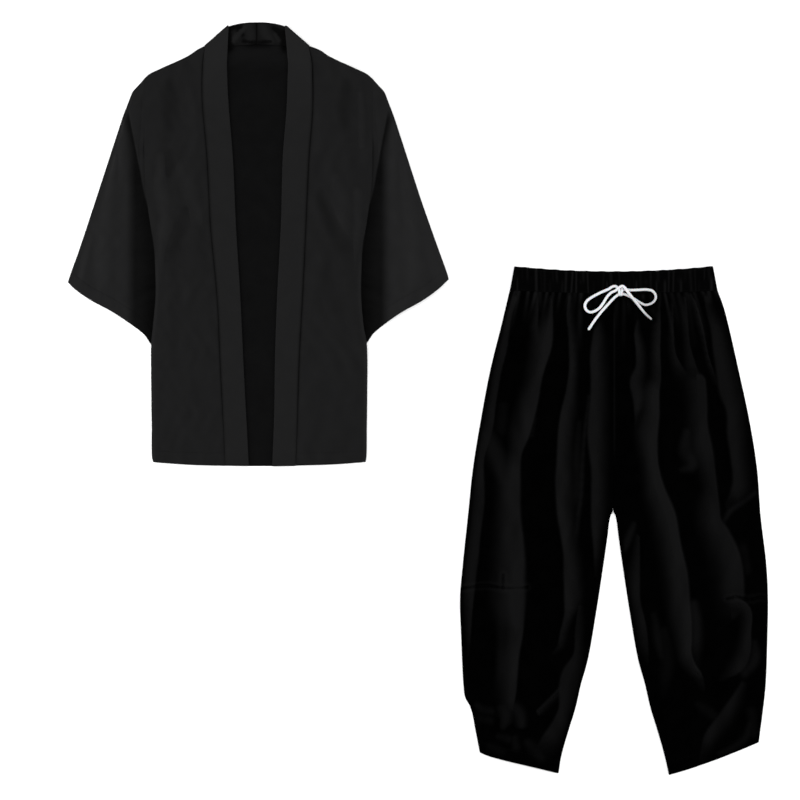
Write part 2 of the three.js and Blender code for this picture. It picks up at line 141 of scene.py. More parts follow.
def smooth_route(points, step):
    """Points every step along a centripetal Catmull-Rom line through the given points."""
    points = np.asarray(points, float)
    ends = np.vstack([2 * points[0] - points[1], points, 2 * points[-1] - points[-2]])
    dense = []
    for a, b, c, d in zip(ends[:-3], ends[1:-2], ends[2:-1], ends[3:]):
        t0, t1 = 0.0, np.linalg.norm(b - a) ** 0.5
        t2 = t1 + np.linalg.norm(c - b) ** 0.5
        t3 = t2 + np.linalg.norm(d - c) ** 0.5
        t = np.linspace(t1, t2, 40, endpoint=False)[:, None]
        ab = (t1 - t) / (t1 - t0) * a + (t - t0) / (t1 - t0) * b
        bc = (t2 - t) / (t2 - t1) * b + (t - t1) / (t2 - t1) * c
        cd = (t3 - t) / (t3 - t2) * c + (t - t2) / (t3 - t2) * d
        abc = (t2 - t) / (t2 - t0) * ab + (t - t0) / (t2 - t0) * bc
        bcd = (t3 - t) / (t3 - t1) * bc + (t - t1) / (t3 - t1) * cd
        dense.append((t2 - t) / (t2 - t1) * abc + (t - t1) / (t2 - t1) * bcd)
    dense = np.vstack(dense + [points[-1:]])
    run = np.concatenate([[0], np.cumsum(np.linalg.norm(np.diff(dense, axis=0), axis=1))])
    count = max(int(round(run[-1] / step)), 2)
    even = np.linspace(0, run[-1], count + 1)
    return np.stack([np.interp(even, run, dense[:, k]) for k in range(dense.shape[1])], axis=1), run[-1]


def mesh_object(name, points, faces, uv, material, at, shading_and_tone):
    """A smooth mesh from points in millimetres, with a UV pair in metres and, for each point, a value that
    sets its tone and carries painted light and shade.
    """
    mesh = bpy.data.meshes.new(name)
    place = np.array([at[0], at[1], 0.0])
    mesh.from_pydata((points * MM + place).tolist(), [], faces)
    layer = mesh.uv_layers.new(name="cut")
    loop_points = np.empty(len(mesh.loops), np.int32)
    mesh.loops.foreach_get("vertex_index", loop_points)
    layer.data.foreach_set("uv", np.asarray(uv, np.float32)[loop_points].ravel())
    mesh.polygons.foreach_set("use_smooth", np.ones(len(mesh.polygons), bool))
    mesh.materials.append(material)
    mesh.attributes.new("shading_and_tone", "FLOAT", "POINT").data.foreach_set("value", np.asarray(shading_and_tone, np.float32))
    mesh.update()
    piece = bpy.data.objects.new(name, mesh)
    bpy.context.scene.collection.objects.link(piece)
    return piece


def grid_faces(rows, columns, start=0, close_columns=False):
    """Quads of a grid of points whose rows follow each other."""
    index = start + np.arange(rows * columns).reshape(rows, columns)
    if close_columns:
        index = np.hstack([index, index[:, :1]])
    quads = np.stack([index[:-1, :-1], index[:-1, 1:], index[1:, 1:], index[1:, :-1]], axis=-1)
    return quads.reshape(-1, 4).tolist()


def braided_tube(name, route, radius=CORD_RADIUS, closed=False):
    """A round braid along a route: two sets of strands that cross over each other. It gives the piece,
    its path and its length, both in metres."""
    path, length = smooth_route(route, BRAID_STEP)
    if closed:
        path = path[:-1]
    ahead = np.roll(path, -1, axis=0) - np.roll(path, 1, axis=0)
    if not closed:
        ahead[0] = path[1] - path[0]
        ahead[-1] = path[-1] - path[-2]
    ahead /= np.linalg.norm(ahead, axis=1)[:, None]
    side = np.cross(ahead, [0, 0, 1.0])
    weak = np.linalg.norm(side, axis=1) < 0.05
    side[weak] = [1.0, 0, 0]
    side /= np.linalg.norm(side, axis=1)[:, None]
    lift = np.cross(side, ahead)
    rows, around = len(path), POINTS_AROUND
    turn = np.linspace(0, 2 * np.pi, around, endpoint=False)[None, :]
    along = np.linspace(0, length, len(path))[:, None]
    one_way = np.cos(STRANDS / 2 * (turn + 2 * np.pi * along / BRAID_PITCH))
    other_way = np.cos(STRANDS / 2 * (turn - 2 * np.pi * along / BRAID_PITCH))
    relief = np.maximum(one_way, other_way)
    width = radius - BRAID_DEPTH + BRAID_DEPTH * relief
    if not closed:
        tip = np.clip((length - along) / TIP_LENGTH, 0, 1) ** 0.4
        width = width * (TIP_SHARE + (1 - TIP_SHARE) * tip)
    # Past the knot towards the lower right the cord narrows, and painted shade darkens it.
    past_knot = (path[:, :1] - KNOT_AT[0] + KNOT_AT[1] - path[:, 1:2]) / math.sqrt(2)
    width = width * np.interp(past_knot, TAIL_RUN, TAIL_WIDTH)
    shade = np.broadcast_to(np.interp(past_knot, TAIL_RUN, TAIL_SHADE), (rows, around)).ravel()
    points = (
        path[:, None, :]
        + side[:, None, :] * (np.cos(turn) * width)[:, :, None]
        + lift[:, None, :] * (np.sin(turn) * width)[:, :, None]
    ).reshape(-1, 3)
    uv = np.stack(np.broadcast_arrays(along * MM, turn / (2 * np.pi)), axis=-1).reshape(-1, 2)
    faces = grid_faces(rows, around, close_columns=True)
    if closed:
        last = (rows - 1) * around
        faces += [(last + i, last + (i + 1) % around, (i + 1) % around, i) for i in range(around)]
    else:
        faces.append(tuple(range(around))[::-1])
        faces.append(tuple((rows - 1) * around + i for i in range(around)))
    piece = mesh_object(name, points, faces, uv, white_braid, TROUSERS_AT, shade)
    if volume(points, faces) < 0:
        piece.data.flip_normals()
    return piece, path * MM + np.array([*TROUSERS_AT, 0.0]), length * MM


def volume(points, faces):
    """Signed volume of a closed mesh: positive where its faces point out."""
    total = 0.0
    for face in faces:
        a = points[face[0]]
        for i in range(1, len(face) - 1):
            total += float(np.dot(a, np.cross(points[face[i]], points[face[i + 1]])))
    return total


def add_node(material, kind, values=None, **settings):
    """A new shader node with its settings, and values for its inputs by name or number."""
    node = material.node_tree.nodes.new(f"ShaderNode{kind}")
    for name, value in settings.items():
        setattr(node, name, value)
    for socket, value in (values or {}).items():
        node.inputs[socket].default_value = value
    return node


def colour_ramp(material, low, high, low_at=0.0):
    """A ramp from one colour to another."""
    ramp = add_node(material, "ValToRGB")
    ramp.color_ramp.elements[0].position = low_at
    ramp.color_ramp.elements[0].color = (*low, 1)
    ramp.color_ramp.elements[1].color = (*high, 1)
    return ramp


def wire(material, *rows):
    """Links. A row is a node, its output, the next node and its input; None is the shader."""
    shader = material.node_tree.nodes["Principled BSDF"]
    for source, out, target, into in rows:
        material.node_tree.links.new(source.outputs[out], (target or shader).inputs[into])


white_braid = new_material(
    "white_braid",
    {"Roughness": 0.55, "Sheen Weight": 0.08, "Subsurface Weight": 0.15, "Subsurface Scale": 0.001},
)
place = add_node(white_braid, "TexCoord")
grain = add_node(white_braid, "TexNoise", {"Scale": 900, "Detail": 3})
tint = colour_ramp(white_braid, (0.5, 0.51, 0.53), (0.67, 0.68, 0.7))
# The braid's colour is scaled by a value per point, which paints shade on its lower right.
shade = add_node(white_braid, "Attribute", attribute_name="shading_and_tone")
shaded = add_node(white_braid, "VectorMath", operation="SCALE")
bump = add_node(white_braid, "Bump", {"Strength": 0.35, "Distance": 0.0003})
wire(
    white_braid,
    (place, "Object", grain, "Vector"), (grain, "Fac", tint, "Fac"), (tint, "Color", shaded, 0),
    (shade, "Fac", shaded, "Scale"), (shaded, "Vector", None, "Base Color"), (grain, "Fac", bump, "Height"),
    (bump, "Normal", None, "Normal"),
)

CORD_ROUTES = {
    ("right", "left"): [
        (11.4, -44.0, 9.6), (8.4, -40.2, 10.2), (4.4, -36.9, 11.0), (-0.8, -37.0, 11.0),
        (-8.9, -41.7, 10.4), (-24.9, -48.8, 9.4), (-40.8, -57.7, 8.6), (-47.9, -63.9, 8.5),
        (-50.4, -71.2, 8.5), (-47.4, -79.0, 8.5), (-40.8, -82.4, 8.5), (-33.7, -80.8, 8.5),
        (-24.9, -75.2, 8.6), (-17.8, -66.0, 8.8), (-10.7, -54.6, 9.2), (-3.8, -47.9, 9.8),
        (2.6, -44.8, 11.6), (7.4, -41.6, 13.4), (11.2, -38.2, 14.6), (15.6, -36.6, 15.2),
        (20.0, -39.8, 15.7), (24.0, -45.6, 15.8), (29.4, -52.6, 15.6), (37.3, -62.1, 14.4),
        (46.2, -72.8, 11.4), (56.8, -85.2, 8.9), (68.0, -95.3, 8.8),
    ],
    ("left", "right"): [
        (14.6, -43.8, 10.6), (21.3, -42.4, 10.9), (28.4, -43.4, 11.0), (42.6, -43.1, 10.6),
        (60.4, -42.6, 9.8), (69.2, -45.0, 9.4), (74.4, -51.6, 9.2), (74.6, -58.6, 9.0), (69.2, -65.6, 8.8),
        (57.2, -69.4, 8.6), (47.9, -65.9, 8.6), (37.3, -59.2, 8.7), (28.4, -54.0, 9.2), (19.0, -50.6, 9.8),
        (10.8, -50.6, 9.8), (4.4, -54.4, 9.4), (-1.6, -60.0, 9.0), (-8.9, -68.0, 8.7), (-17.8, -77.8, 8.5),
        (-26.6, -88.2, 8.5), (-35.5, -100.4, 8.5), (-44.4, -114.0, 8.5),
    ],
}


def dress(piece, slot, *solids):
    """The piece rides on the set's one body and is shown in place of plain solids."""
    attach(piece, "root")
    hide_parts(*solids)


cord_plans, cord_ends = [], []
for (loop, tail), route in CORD_ROUTES.items():
    cord, path, length = braided_tube(f"drawstring_{loop}_end", route)
    dress(cord, "drawstring_cord", f"drawstring_loop_{loop}", f"drawstring_tail_{tail}")
    cord_ends.append((cord, path, length))
    cord_plans.append(smooth_route([point[:2] for point in route], PLAN_STEP)[0])

# The knot is the cord wound twice round its own crossing, pulled flat and tight. The two turns lean
# apart a little, and are joined into one piece.
KNOT_HALF = 6.4
KNOT_RISE = 2.4
KNOT_DROP = 1.0
KNOT_CORD_RADIUS = 2.35
KNOT_TURNS = ((-2.2, -0.7), (2.3, 0.6))
KNOT_POINTS = 15
knot_turns = []
for wrap, (shift, lean) in enumerate(KNOT_TURNS):
    turn = np.linspace(0, 2 * np.pi, KNOT_POINTS)
    ring = np.array([KNOT_AT[0] + shift, KNOT_AT[1] - KNOT_DROP, KNOT_AT[2]]) + np.stack(
        [lean * np.cos(turn), KNOT_HALF * np.cos(turn), KNOT_RISE * np.sin(turn)], axis=1
    )
    knot_turns.append(braided_tube(f"knot_turn_{wrap}", ring, KNOT_CORD_RADIUS, closed=True)[0])
bpy.ops.object.select_all(action="DESELECT")
for turn in knot_turns:
    turn.select_set(True)
bpy.context.view_layer.objects.active = knot_turns[0]
bpy.ops.object.join()
knot = knot_turns[0]
knot.name = "bow_knot_wrap"
dress(knot, "drawstring_cord", "bow_knot")

# The trousers have two fronts and two backs of a soft, very dark black weave. A panel is cut flat, and
# its height over the surface is the layer it lies on, plus its drapes, gathers, darts and hem. The
# right hem was crushed.
CLOTH = 0.9
DRAPE_STEP = 5.0
DRAPE_END = 40
SHORT_DRAPE = 20
END_SHARE = 0.35
RIM_BULGE = 0.32


def seam_line(rows):
    """A smooth line in plan through [x, y] rows, read by its share of the length."""
    dense, _ = smooth_route([(x, y) for x, y in rows], 1.0)
    run = np.concatenate([[0], np.cumsum(np.linalg.norm(np.diff(dense, axis=0), axis=1))])
    run /= run[-1]
    return lambda share: np.stack([np.interp(share, run, dense[:, k]) for k in (0, 1)], axis=-1)


def panel_plan(foot, top, left, right, u, v):
    """A panel's plan filled in between its four edges, for grids of u across and v up."""
    along = foot(u) * (1 - v)[..., None] + top(u) * v[..., None]
    across = left(v) * (1 - u)[..., None] + right(v) * u[..., None]
    low = (foot(0.0) * (1 - u)[..., None] + foot(1.0) * u[..., None]) * (1 - v)[..., None]
    high = (top(0.0) * (1 - u)[..., None] + top(1.0) * u[..., None]) * v[..., None]
    return along + across - low - high


def ease(start, end, value):
    """Rises softly from 0 to 1 as value goes from one number to the other, whichever is larger."""
    share = np.clip((value - start) / (end - start), 0, 1)
    return share * share * (3 - 2 * share)


def drape_relief(drapes, x, y):
    """Height of cloth drapes. A row is a height, the side that is steep (+1 or -1 in x, 0 for both
    soft) and a route of x, y and half width."""
    sums = np.zeros_like(x)
    for rise, steep, route in drapes:
        path, _ = smooth_route(route, DRAPE_STEP)
        reach = path[:, 2].max() * 2
        near = (x > path[:, 0].min() - reach) & (x < path[:, 0].max() + reach)
        near &= (y > path[:, 1].min() - reach) & (y < path[:, 1].max() + reach)
        if not near.any():
            continue
        away = np.hypot(x[near][:, None] - path[:, 0], y[near][:, None] - path[:, 1]) / path[:, 2]
        nearest = away.argmin(axis=1)
        share = away.min(axis=1)
        full = np.minimum(path[nearest, 2] / path[:, 2].mean(), 1) ** 0.7
        if len(path) > SHORT_DRAPE:
            full *= END_SHARE + (1 - END_SHARE) * ease(0, DRAPE_END, DRAPE_STEP * (len(path) - 1 - nearest))
        if steep:
            share = np.copysign(share, (x[near] - path[nearest, 0]) * steep)
            profile = ease(1.2, 0.8, share) * ease(-1.8, 0.55, share)
        else:
            profile = ease(1.6, 0.1, share)
        sums[near] += np.sign(rise) * np.abs(rise * full * profile) ** 3
    return np.cbrt(sums)


def cloth_ripple(x, y, seed, across, along):
    """Faint uneven waves that run mostly along y. across and along are their usual sizes."""
    random = np.random.default_rng(seed)
    height = np.zeros_like(x)
    for _ in range(7):
        size = random.uniform(0.6, 1.7)
        tilt = random.normal(0, 0.25)
        phase, drift, bend = random.uniform(0, 2 * np.pi, 3)
        wave = x / (across * size) + tilt * y / along + 0.6 * np.sin(y / (along * size) * 2 + bend)
        height += np.sin(2 * np.pi * wave + phase) * np.cos(2 * np.pi * y / (along * size * 2.2) + drift)
    return height / 3.5


def cloth_shell(name, tops, unders, material, at, ring=False, shading_and_tone=0.0):
    """A closed cloth wall between an upper and a lower grid of points, with soft edges."""
    rows, columns = tops.shape[:2]
    count = rows * columns
    shading_and_tone = np.broadcast_to(shading_and_tone, (rows, columns)).ravel()
    step_u = np.linalg.norm(np.diff(tops, axis=1), axis=2)
    step_v = np.linalg.norm(np.diff(tops, axis=0), axis=2)
    cut_u = np.concatenate([np.zeros((rows, 1)), np.cumsum(step_u, axis=1)], axis=1)
    cut_v = np.concatenate([np.zeros((1, columns)), np.cumsum(step_v, axis=0)], axis=0)
    uv = np.stack([cut_u, cut_v], axis=-1).reshape(-1, 2) * MM
    index = np.arange(count).reshape(rows, columns)
    if ring:
        loops = [index[0], index[-1][::-1]]
    else:
        loops = [[*index[0, :-1], *index[:-1, -1], *index[-1, :0:-1], *index[:0:-1, 0]]]
    top, under = tops.reshape(-1, 3), unders.reshape(-1, 3)
    faces = grid_faces(rows, columns, close_columns=ring)
    faces += [tuple(reversed(face)) for face in grid_faces(rows, columns, count, close_columns=ring)]
    rims, rim_uv, rim_shading_and_tone = [], [], []
    start = 2 * count
    for loop in loops:
        loop = np.array(loop)
        middle = (top[loop] + under[loop]) / 2
        ahead = np.roll(middle, -1, axis=0) - np.roll(middle, 1, axis=0)
        through = top[loop] - under[loop]
        out = np.cross(ahead, through)
        out /= np.linalg.norm(out, axis=1)[:, None] + 1e-9
        thick = np.linalg.norm(through, axis=1)[:, None]
        rims.append(middle + out * thick * RIM_BULGE)
        rim_uv.append(uv[loop])
        rim_shading_and_tone.append(shading_and_tone[loop])
        size = len(loop)
        for i in range(size):
            j = (i + 1) % size
            faces.append((int(loop[i]), start + i, start + j, int(loop[j])))
            faces.append((start + i, int(loop[i]) + count, int(loop[j]) + count, start + j))
        start += size
    points = np.vstack([top, under, *rims])
    all_shading_and_tone = np.concatenate([shading_and_tone, shading_and_tone, *rim_shading_and_tone])
    piece = mesh_object(name, points, faces, np.vstack([uv, uv, *rim_uv]), material, at, all_shading_and_tone)
    upper = index[rows // 2, columns // 2]
    normal = np.cross(top[upper + 1] - top[upper], top[upper + columns] - top[upper])
    if np.dot(normal, top[upper] - under[upper]) < 0:
        piece.data.flip_normals()
    return piece


def black_weave(name, shadow_tone, lit_tone, sheen, gloss):
    """Plain woven black cloth: fine weave relief and slubs, faint random patches of tone, and a black colour
    that is painted paler where light is painted and darker where shade is painted.
    """
    cloth = new_material(name, {
        "Roughness": 0.62, "Specular IOR Level": gloss, "Sheen Weight": sheen, "Sheen Roughness": 0.45,
        "Sheen Tint": (0.86, 0.9, 1, 1),
    })
    cut = add_node(cloth, "UVMap", uv_map="cut")
    patches = add_node(cloth, "TexNoise", {"Scale": 28, "Detail": 6, "Roughness": 0.6})
    painted_shading = add_node(cloth, "Attribute", attribute_name="shading_and_tone")
    uneven = add_node(cloth, "Math", {1: 0.16}, operation="MULTIPLY_ADD")
    dye = colour_ramp(cloth, shadow_tone, lit_tone, low_at=0.06)
    yarns = {"Scale": 0.314 / YARN_PITCH / 2, "Distortion": 0.6, "Detail": 1}
    warp = add_node(cloth, "TexWave", yarns, bands_direction="X")
    weft = add_node(cloth, "TexWave", yarns, bands_direction="Y")
    slubs = add_node(cloth, "TexNoise", {"Scale": 420, "Detail": 2})
    threads = add_node(cloth, "Math", operation="MAXIMUM")
    relief = add_node(cloth, "Math", {1: 0.8}, operation="MULTIPLY_ADD")
    bump = add_node(cloth, "Bump", {"Strength": 0.25, "Distance": 0.0002})
    wire(
        cloth,
        (cut, "UV", patches, "Vector"), (patches, "Fac", uneven, 0), (painted_shading, "Fac", uneven, 2),
        (uneven, "Value", dye, "Fac"), (dye, "Color", None, "Base Color"),
        (cut, "UV", warp, "Vector"), (cut, "UV", weft, "Vector"), (cut, "UV", slubs, "Vector"),
        (warp, "Fac", threads, 0), (weft, "Fac", threads, 1), (slubs, "Fac", relief, 0),
        (threads, "Value", relief, 2), (relief, "Value", bump, "Height"), (bump, "Normal", None, "Normal"),
    )
    return cloth


YARN_PITCH = 0.00045
trouser_black = black_weave(
    "trouser_black", (0.0001, 0.0001, 0.0001), (0.0043, 0.0043, 0.0044), 0.0015, 0.002
)

WAIST_HALF = 183
BAND_FOOT = -44.0
BAND_FOOT_SAG = 5.0
CROTCH_Y = -437.0
LEG_PUFF = 2.5
SEAM_GAP = 0.3
OUTSEAMS = {
    -1: [
        (-WAIST_HALF, BAND_FOOT), (-197, -103), (-218, -188), (-234, -273), (-248, -359), (-257, -444),
        (-266, -529), (-271, -590), (-269, -657), (-265, -742), (-262, -765), (-252, -784), (-243, -827),
        (-236, -863),
    ],
    1: [
        (185.5, BAND_FOOT), (196, -72), (204.3, -103), (223.6, -188), (241.8, -273), (255.5, -359),
        (262, -444), (272, -529), (275, -590), (274, -657), (271, -742), (266.5, -785), (258.5, -845),
    ],
}
INSEAM = [
    (5, -444), (10, -480), (17, -529), (30, -614), (45, -699), (57, -742), (67, -785), (80, -827), (92, -870),
]
HEMS = {
    -1: [(-236, -863), (-218, -870), (-133, -891), (-97, -900)],
    1: [(258.5, -845), (194, -871), (135, -892), (99.5, -903)],
}
LEG_DRAPES = {
    -1: [
        (6, 1, [
            (-176, -58, 5), (-188, -100, 7), (-198, -150, 8), (-208, -200, 8), (-216, -250, 8),
            (-227, -300, 10), (-238, -350, 10), (-240, -430, 11), (-249, -500, 11), (-255, -560, 11),
            (-258, -640, 6), (-257, -690, 3),
        ]),
        (9, 1, [
            (-112, -58, 4), (-114, -84, 7), (-121, -112, 14), (-126, -140, 16), (-130, -160, 15),
            (-140, -200, 14), (-152, -250, 16), (-165, -300, 15), (-173, -330, 12), (-183, -375, 19),
            (-184, -450, 20), (-182, -500, 24), (-183, -560, 26), (-184, -602, 26), (-175, -650, 15),
            (-184, -700, 16), (-187, -750, 14), (-189, -785, 9), (-186, -806, 7),
        ]),
        (5, 0, [(-224, -298, 12), (-208, -335, 16), (-190, -380, 16)]),
        (2, 0, [(-196, -250, 10), (-198, -290, 12)]),
        (2, 0, [(-146, -300, 5), (-140, -270, 4)]),
        (5, 1, [(-137, -52, 4), (-138, -80, 5), (-140, -108, 7), (-136, -130, 8)]),
        (3, 0, [(-196, -600, 12), (-196, -660, 10), (-200, -720, 8), (-204, -760, 6)]),
        (8, -1, [
            (-77, -56, 4), (-76, -90, 6), (-72, -120, 7), (-72, -170, 8), (-74, -215, 9), (-80, -260, 12),
            (-85, -300, 12), (-87, -350, 14), (-86, -400, 15), (-85, -440, 14), (-81, -475, 12),
            (-75, -515, 12), (-73, -560, 13), (-72, -592, 14), (-79, -620, 8), (-88, -650, 6),
            (-93, -675, 6), (-103, -686, 4),
        ]),
        (3, 0, [(-62, -280, 6), (-64, -340, 9), (-66, -400, 9), (-70, -440, 6)]),
        (4, 0, [
            (-43, -232, 4), (-49, -290, 4.5), (-54, -340, 4.5), (-57, -385, 5), (-61, -425, 5),
            (-67, -470, 6), (-72, -505, 8),
        ]),
        (7, -1, [
            (-29, -84, 4), (-28, -104, 8), (-27, -124, 11), (-27, -150, 13), (-26, -200, 13),
            (-28, -250, 15), (-29, -300, 16), (-27, -350, 14), (-26, -400, 14), (-27, -450, 12),
            (-30, -500, 8), (-31, -548, 4),
        ]),
        (6, -1, [
            (-58, -606, 5), (-61, -650, 8), (-62, -690, 9), (-73, -720, 15), (-80, -752, 17), (-86, -785, 12),
            (-97, -815, 14), (-111, -842, 16), (-126, -862, 14),
        ]),
        (5, -1, [(-92, -752, 7), (-110, -770, 6), (-128, -790, 6)]),
        (2.6, 0, [(-242, -779, 6), (-230, -787, 8), (-214, -789, 7)]),
        (2.2, 0, [(-234, -803, 7), (-218, -806, 8)]),
        (4.2, 0, [(-197, -784, 8), (-191, -799, 10), (-194, -816, 7)]),
        (-2.0, 0, [(-202, -806, 5), (-206, -824, 6)]),
        (5.0, 0, [(-176, -782, 10), (-167, -796, 13), (-163, -812, 11)]),
        (-2.5, 0, [(-186, -822, 6), (-172, -826, 7), (-158, -824, 6)]),
        (2.6, 0, [(-202, -834, 6), (-186, -839, 8)]),
        (3.2, 0, [(-174, -838, 7), (-171, -853, 8)]),
        (1.8, 0, [(-218, -852, 7), (-198, -862, 8)]),
        (2.6, 0, [(-150, -846, 9), (-138, -858, 11), (-128, -872, 9)]),
    ],
    1: [
        (7, -1, [
            (44, -98, 3), (43, -120, 6), (48, -150, 9), (48, -180, 9), (42, -206, 12), (46, -232, 11),
            (44, -262, 6), (42, -288, 4),
        ]),
        (9, 1, [
            (81, -56, 3), (80, -78, 4), (77, -108, 7), (76, -150, 8), (75, -200, 9), (67, -222, 14),
            (66, -262, 15), (61, -300, 17), (66, -350, 15), (76, -400, 17), (92, -450, 19), (102, -500, 18),
            (112, -550, 20), (117, -592, 20), (124, -650, 16), (129, -690, 12), (138, -712, 10),
            (150, -728, 8), (158, -748, 5),
        ]),
        (5, 0, [(142, -600, 9), (147, -650, 12), (146, -704, 9)]),
        (5, 1, [(103, -70, 3), (102, -120, 5), (104, -155, 6), (114, -182, 9), (128, -204, 13)]),
        (5, 1, [(124, -58, 4), (127, -98, 6), (130, -140, 6), (136, -172, 9), (143, -206, 14)]),
        (7, 1, [
            (147, -206, 16), (150, -245, 17), (151, -285, 17), (156, -325, 19), (165, -355, 15),
            (172, -390, 13), (171, -420, 16), (172, -455, 19), (184, -478, 22), (196, -505, 24),
            (206, -545, 24), (208, -588, 24), (208, -606, 20),
        ]),
        (5, 0, [(132, -296, 9), (130, -330, 13), (140, -352, 12), (120, -362, 5)]),
        (6, 1, [
            (214, -596, 12), (234, -612, 11), (236, -650, 11), (233, -680, 13), (222, -705, 13),
            (205, -722, 8), (190, -733, 4),
        ]),
        (4, 0, [(252, -668, 6), (250, -700, 10), (232, -722, 9)]),
        (5, 1, [
            (135, -52, 4), (145, -74, 5), (153, -102, 5), (160, -132, 4), (169, -172, 4), (180, -206, 5),
        ]),
        (6, -1, [
            (168, -58, 6), (175, -90, 8), (184, -112, 12), (191, -150, 14), (200, -190, 18),
            (206, -222, 19), (214, -255, 16), (217, -300, 16), (222, -340, 14), (225, -380, 14),
            (220, -408, 15), (205, -425, 8),
        ]),
        (4, 0, [(252, -402, 5), (228, -420, 5.5), (207, -434, 6), (196, -450, 5)]),
        (4, 0, [(36, -458, 5), (30, -474, 7), (24, -490, 7), (20, -504, 4)]),
        (5, 1, [
            (42, -482, 5), (40, -520, 8), (37, -552, 11), (39, -590, 10), (46, -625, 9), (54, -670, 8),
            (59, -706, 4),
        ]),
        (3, 0, [(70, -620, 6), (78, -660, 9), (84, -692, 6)]),
        (5, -1, [
            (229, -742, 6), (218, -770, 10), (205, -792, 13), (189, -812, 13), (174, -834, 12),
            (165, -856, 9), (160, -874, 8),
        ]),
        (3, 0, [(243, -812, 5), (236, -836, 7), (214, -852, 6), (190, -864, 5)]),
        (2, 0, [(150, -778, 6), (162, -786, 9), (180, -800, 9)]),
        (2, 0, [(90, -650, 10), (96, -700, 12), (92, -760, 8)]),
        (2, 0, [(230, -500, 8), (238, -540, 8)]),
        (2, 0, [(245, -790, 8), (250, -830, 7)]),
    ],
}
KNEE_DARTS = {
    -1: [
        ((-269, -572), (-228, -567), (-190, -571), (-153, -570)),
        ((-195, -571), (-195, -560), (-195, -548)),
    ],
    1: [
        ((202, -590), (218, -587), (236, -591), (246, -591)),
        ((247, -591), (260, -588), (273, -590)),
    ],
}
KNEE_SHARES = {-1: (0.345, 0.405), 1: (0.3, 0.36)}
GATHERS_PER_LEG = 15
GATHER_LENGTHS = {26: 0.2, 42: 0.3, 60: 0.25, 85: 0.15, 120: 0.1}
TUCKED_UP = 0.2
OVER_BACK = 0.15
CROWN = 1.35
DRAPE_LIFT = 0.75
DART_DEPTH = 0.9
DART_WIDTH, DART_BULGE_AT = 2.4, 5.5
LEG_ROWS, LEG_COLUMNS, KNEE_ROWS = 220, 150, 26
BACK_ROWS, BACK_COLUMNS = 60, 24


def band_foot_y(x):
    return BAND_FOOT - BAND_FOOT_SAG * (1 - (x / WAIST_HALF) ** 2)


def leg_grid(side, columns, shares):
    """The plan of a leg's front or back, and each point's distance to its outer and inner seams."""
    centre_x = side * SEAM_GAP / 2
    waist_x = np.linspace(OUTSEAMS[side][0][0], centre_x, 5)
    waist = seam_line([(x, band_foot_y(x) + TUCKED_UP) for x in waist_x])
    outer = [(x, band_foot_y(x) + TUCKED_UP if y == BAND_FOOT else y) for x, y in OUTSEAMS[side]]
    centre_y = (band_foot_y(0) + TUCKED_UP, -200, -350, CROTCH_Y + 25, CROTCH_Y + 10)
    centre = [(centre_x, y) for y in centre_y]
    inner = centre + [(side * 1.2, CROTCH_Y)] + [(side * x, y) for x, y in INSEAM] + [HEMS[side][-1]]
    u, v = np.meshgrid(np.linspace(0, 1, columns), shares)
    plan = panel_plan(seam_line(HEMS[side]), waist, seam_line(outer[::-1]), seam_line(inner[::-1]), u, v)
    width = np.linalg.norm(plan[:, -1] - plan[:, 0], axis=1)[:, None]
    return u, v, plan[..., 0], plan[..., 1], u * width, (1 - u) * width


def gather_relief(u, drop, seed):
    """Uneven gathers that start at the waistband and die out down the leg."""
    random = np.random.default_rng(seed)
    height = np.zeros_like(u)
    for i in range(GATHERS_PER_LEG):
        centre = (i + 0.5 + random.uniform(-0.28, 0.28)) / GATHERS_PER_LEG
        half = random.uniform(0.34, 0.6) / GATHERS_PER_LEG
        length = random.choice(list(GATHER_LENGTHS), p=list(GATHER_LENGTHS.values()))
        drift = random.uniform(-0.5, 0.5) / GATHERS_PER_LEG
        rise = random.uniform(1.0, 2.4)
        share = drop / length
        away = np.clip(np.abs(u - centre - drift * share) / (half * (1 + 0.35 * share)), 0, 1)
        height += rise * np.cos(away * np.pi / 2) ** 2 * np.clip(1 - share, 0, 1) ** 1.3
    return height


HEM_DEPTH = 22.0
LEG_LENGTH = 857.0


def hem_relief(from_hem, along, seed):
    """A turned-up hem: a doubled edge, its line of stitching, and faint puckers across it."""
    random = np.random.default_rng(seed)
    doubled = 0.5 * ease(HEM_DEPTH + 1.5, HEM_DEPTH - 1.5, from_hem)
    stitched = -0.5 * np.exp(-(((from_hem - HEM_DEPTH) / 2.2) ** 2))
    puckers = sum(
        random.uniform(0.3, 1) * np.sin(along / random.uniform(1.6, 4.2) + random.uniform(0, 6))
        for _ in range(5)
    )
    return doubled + stitched + 0.08 * puckers * np.exp(-(((from_hem - HEM_DEPTH * 0.7) / 11) ** 2))


def nearest_on(line, x, y):
    """The distance from each point of a grid to the nearest point of a line in plan."""
    return np.hypot(x[..., None] - line[:, 0], y[..., None] - line[:, 1]).min(axis=-1)


def surface_line(tops, at_row):
    """The points of a grid between two of its rows, for a line of stitching."""
    row = int(at_row)
    return tops[row] + (tops[row + 1] - tops[row]) * (at_row - row)


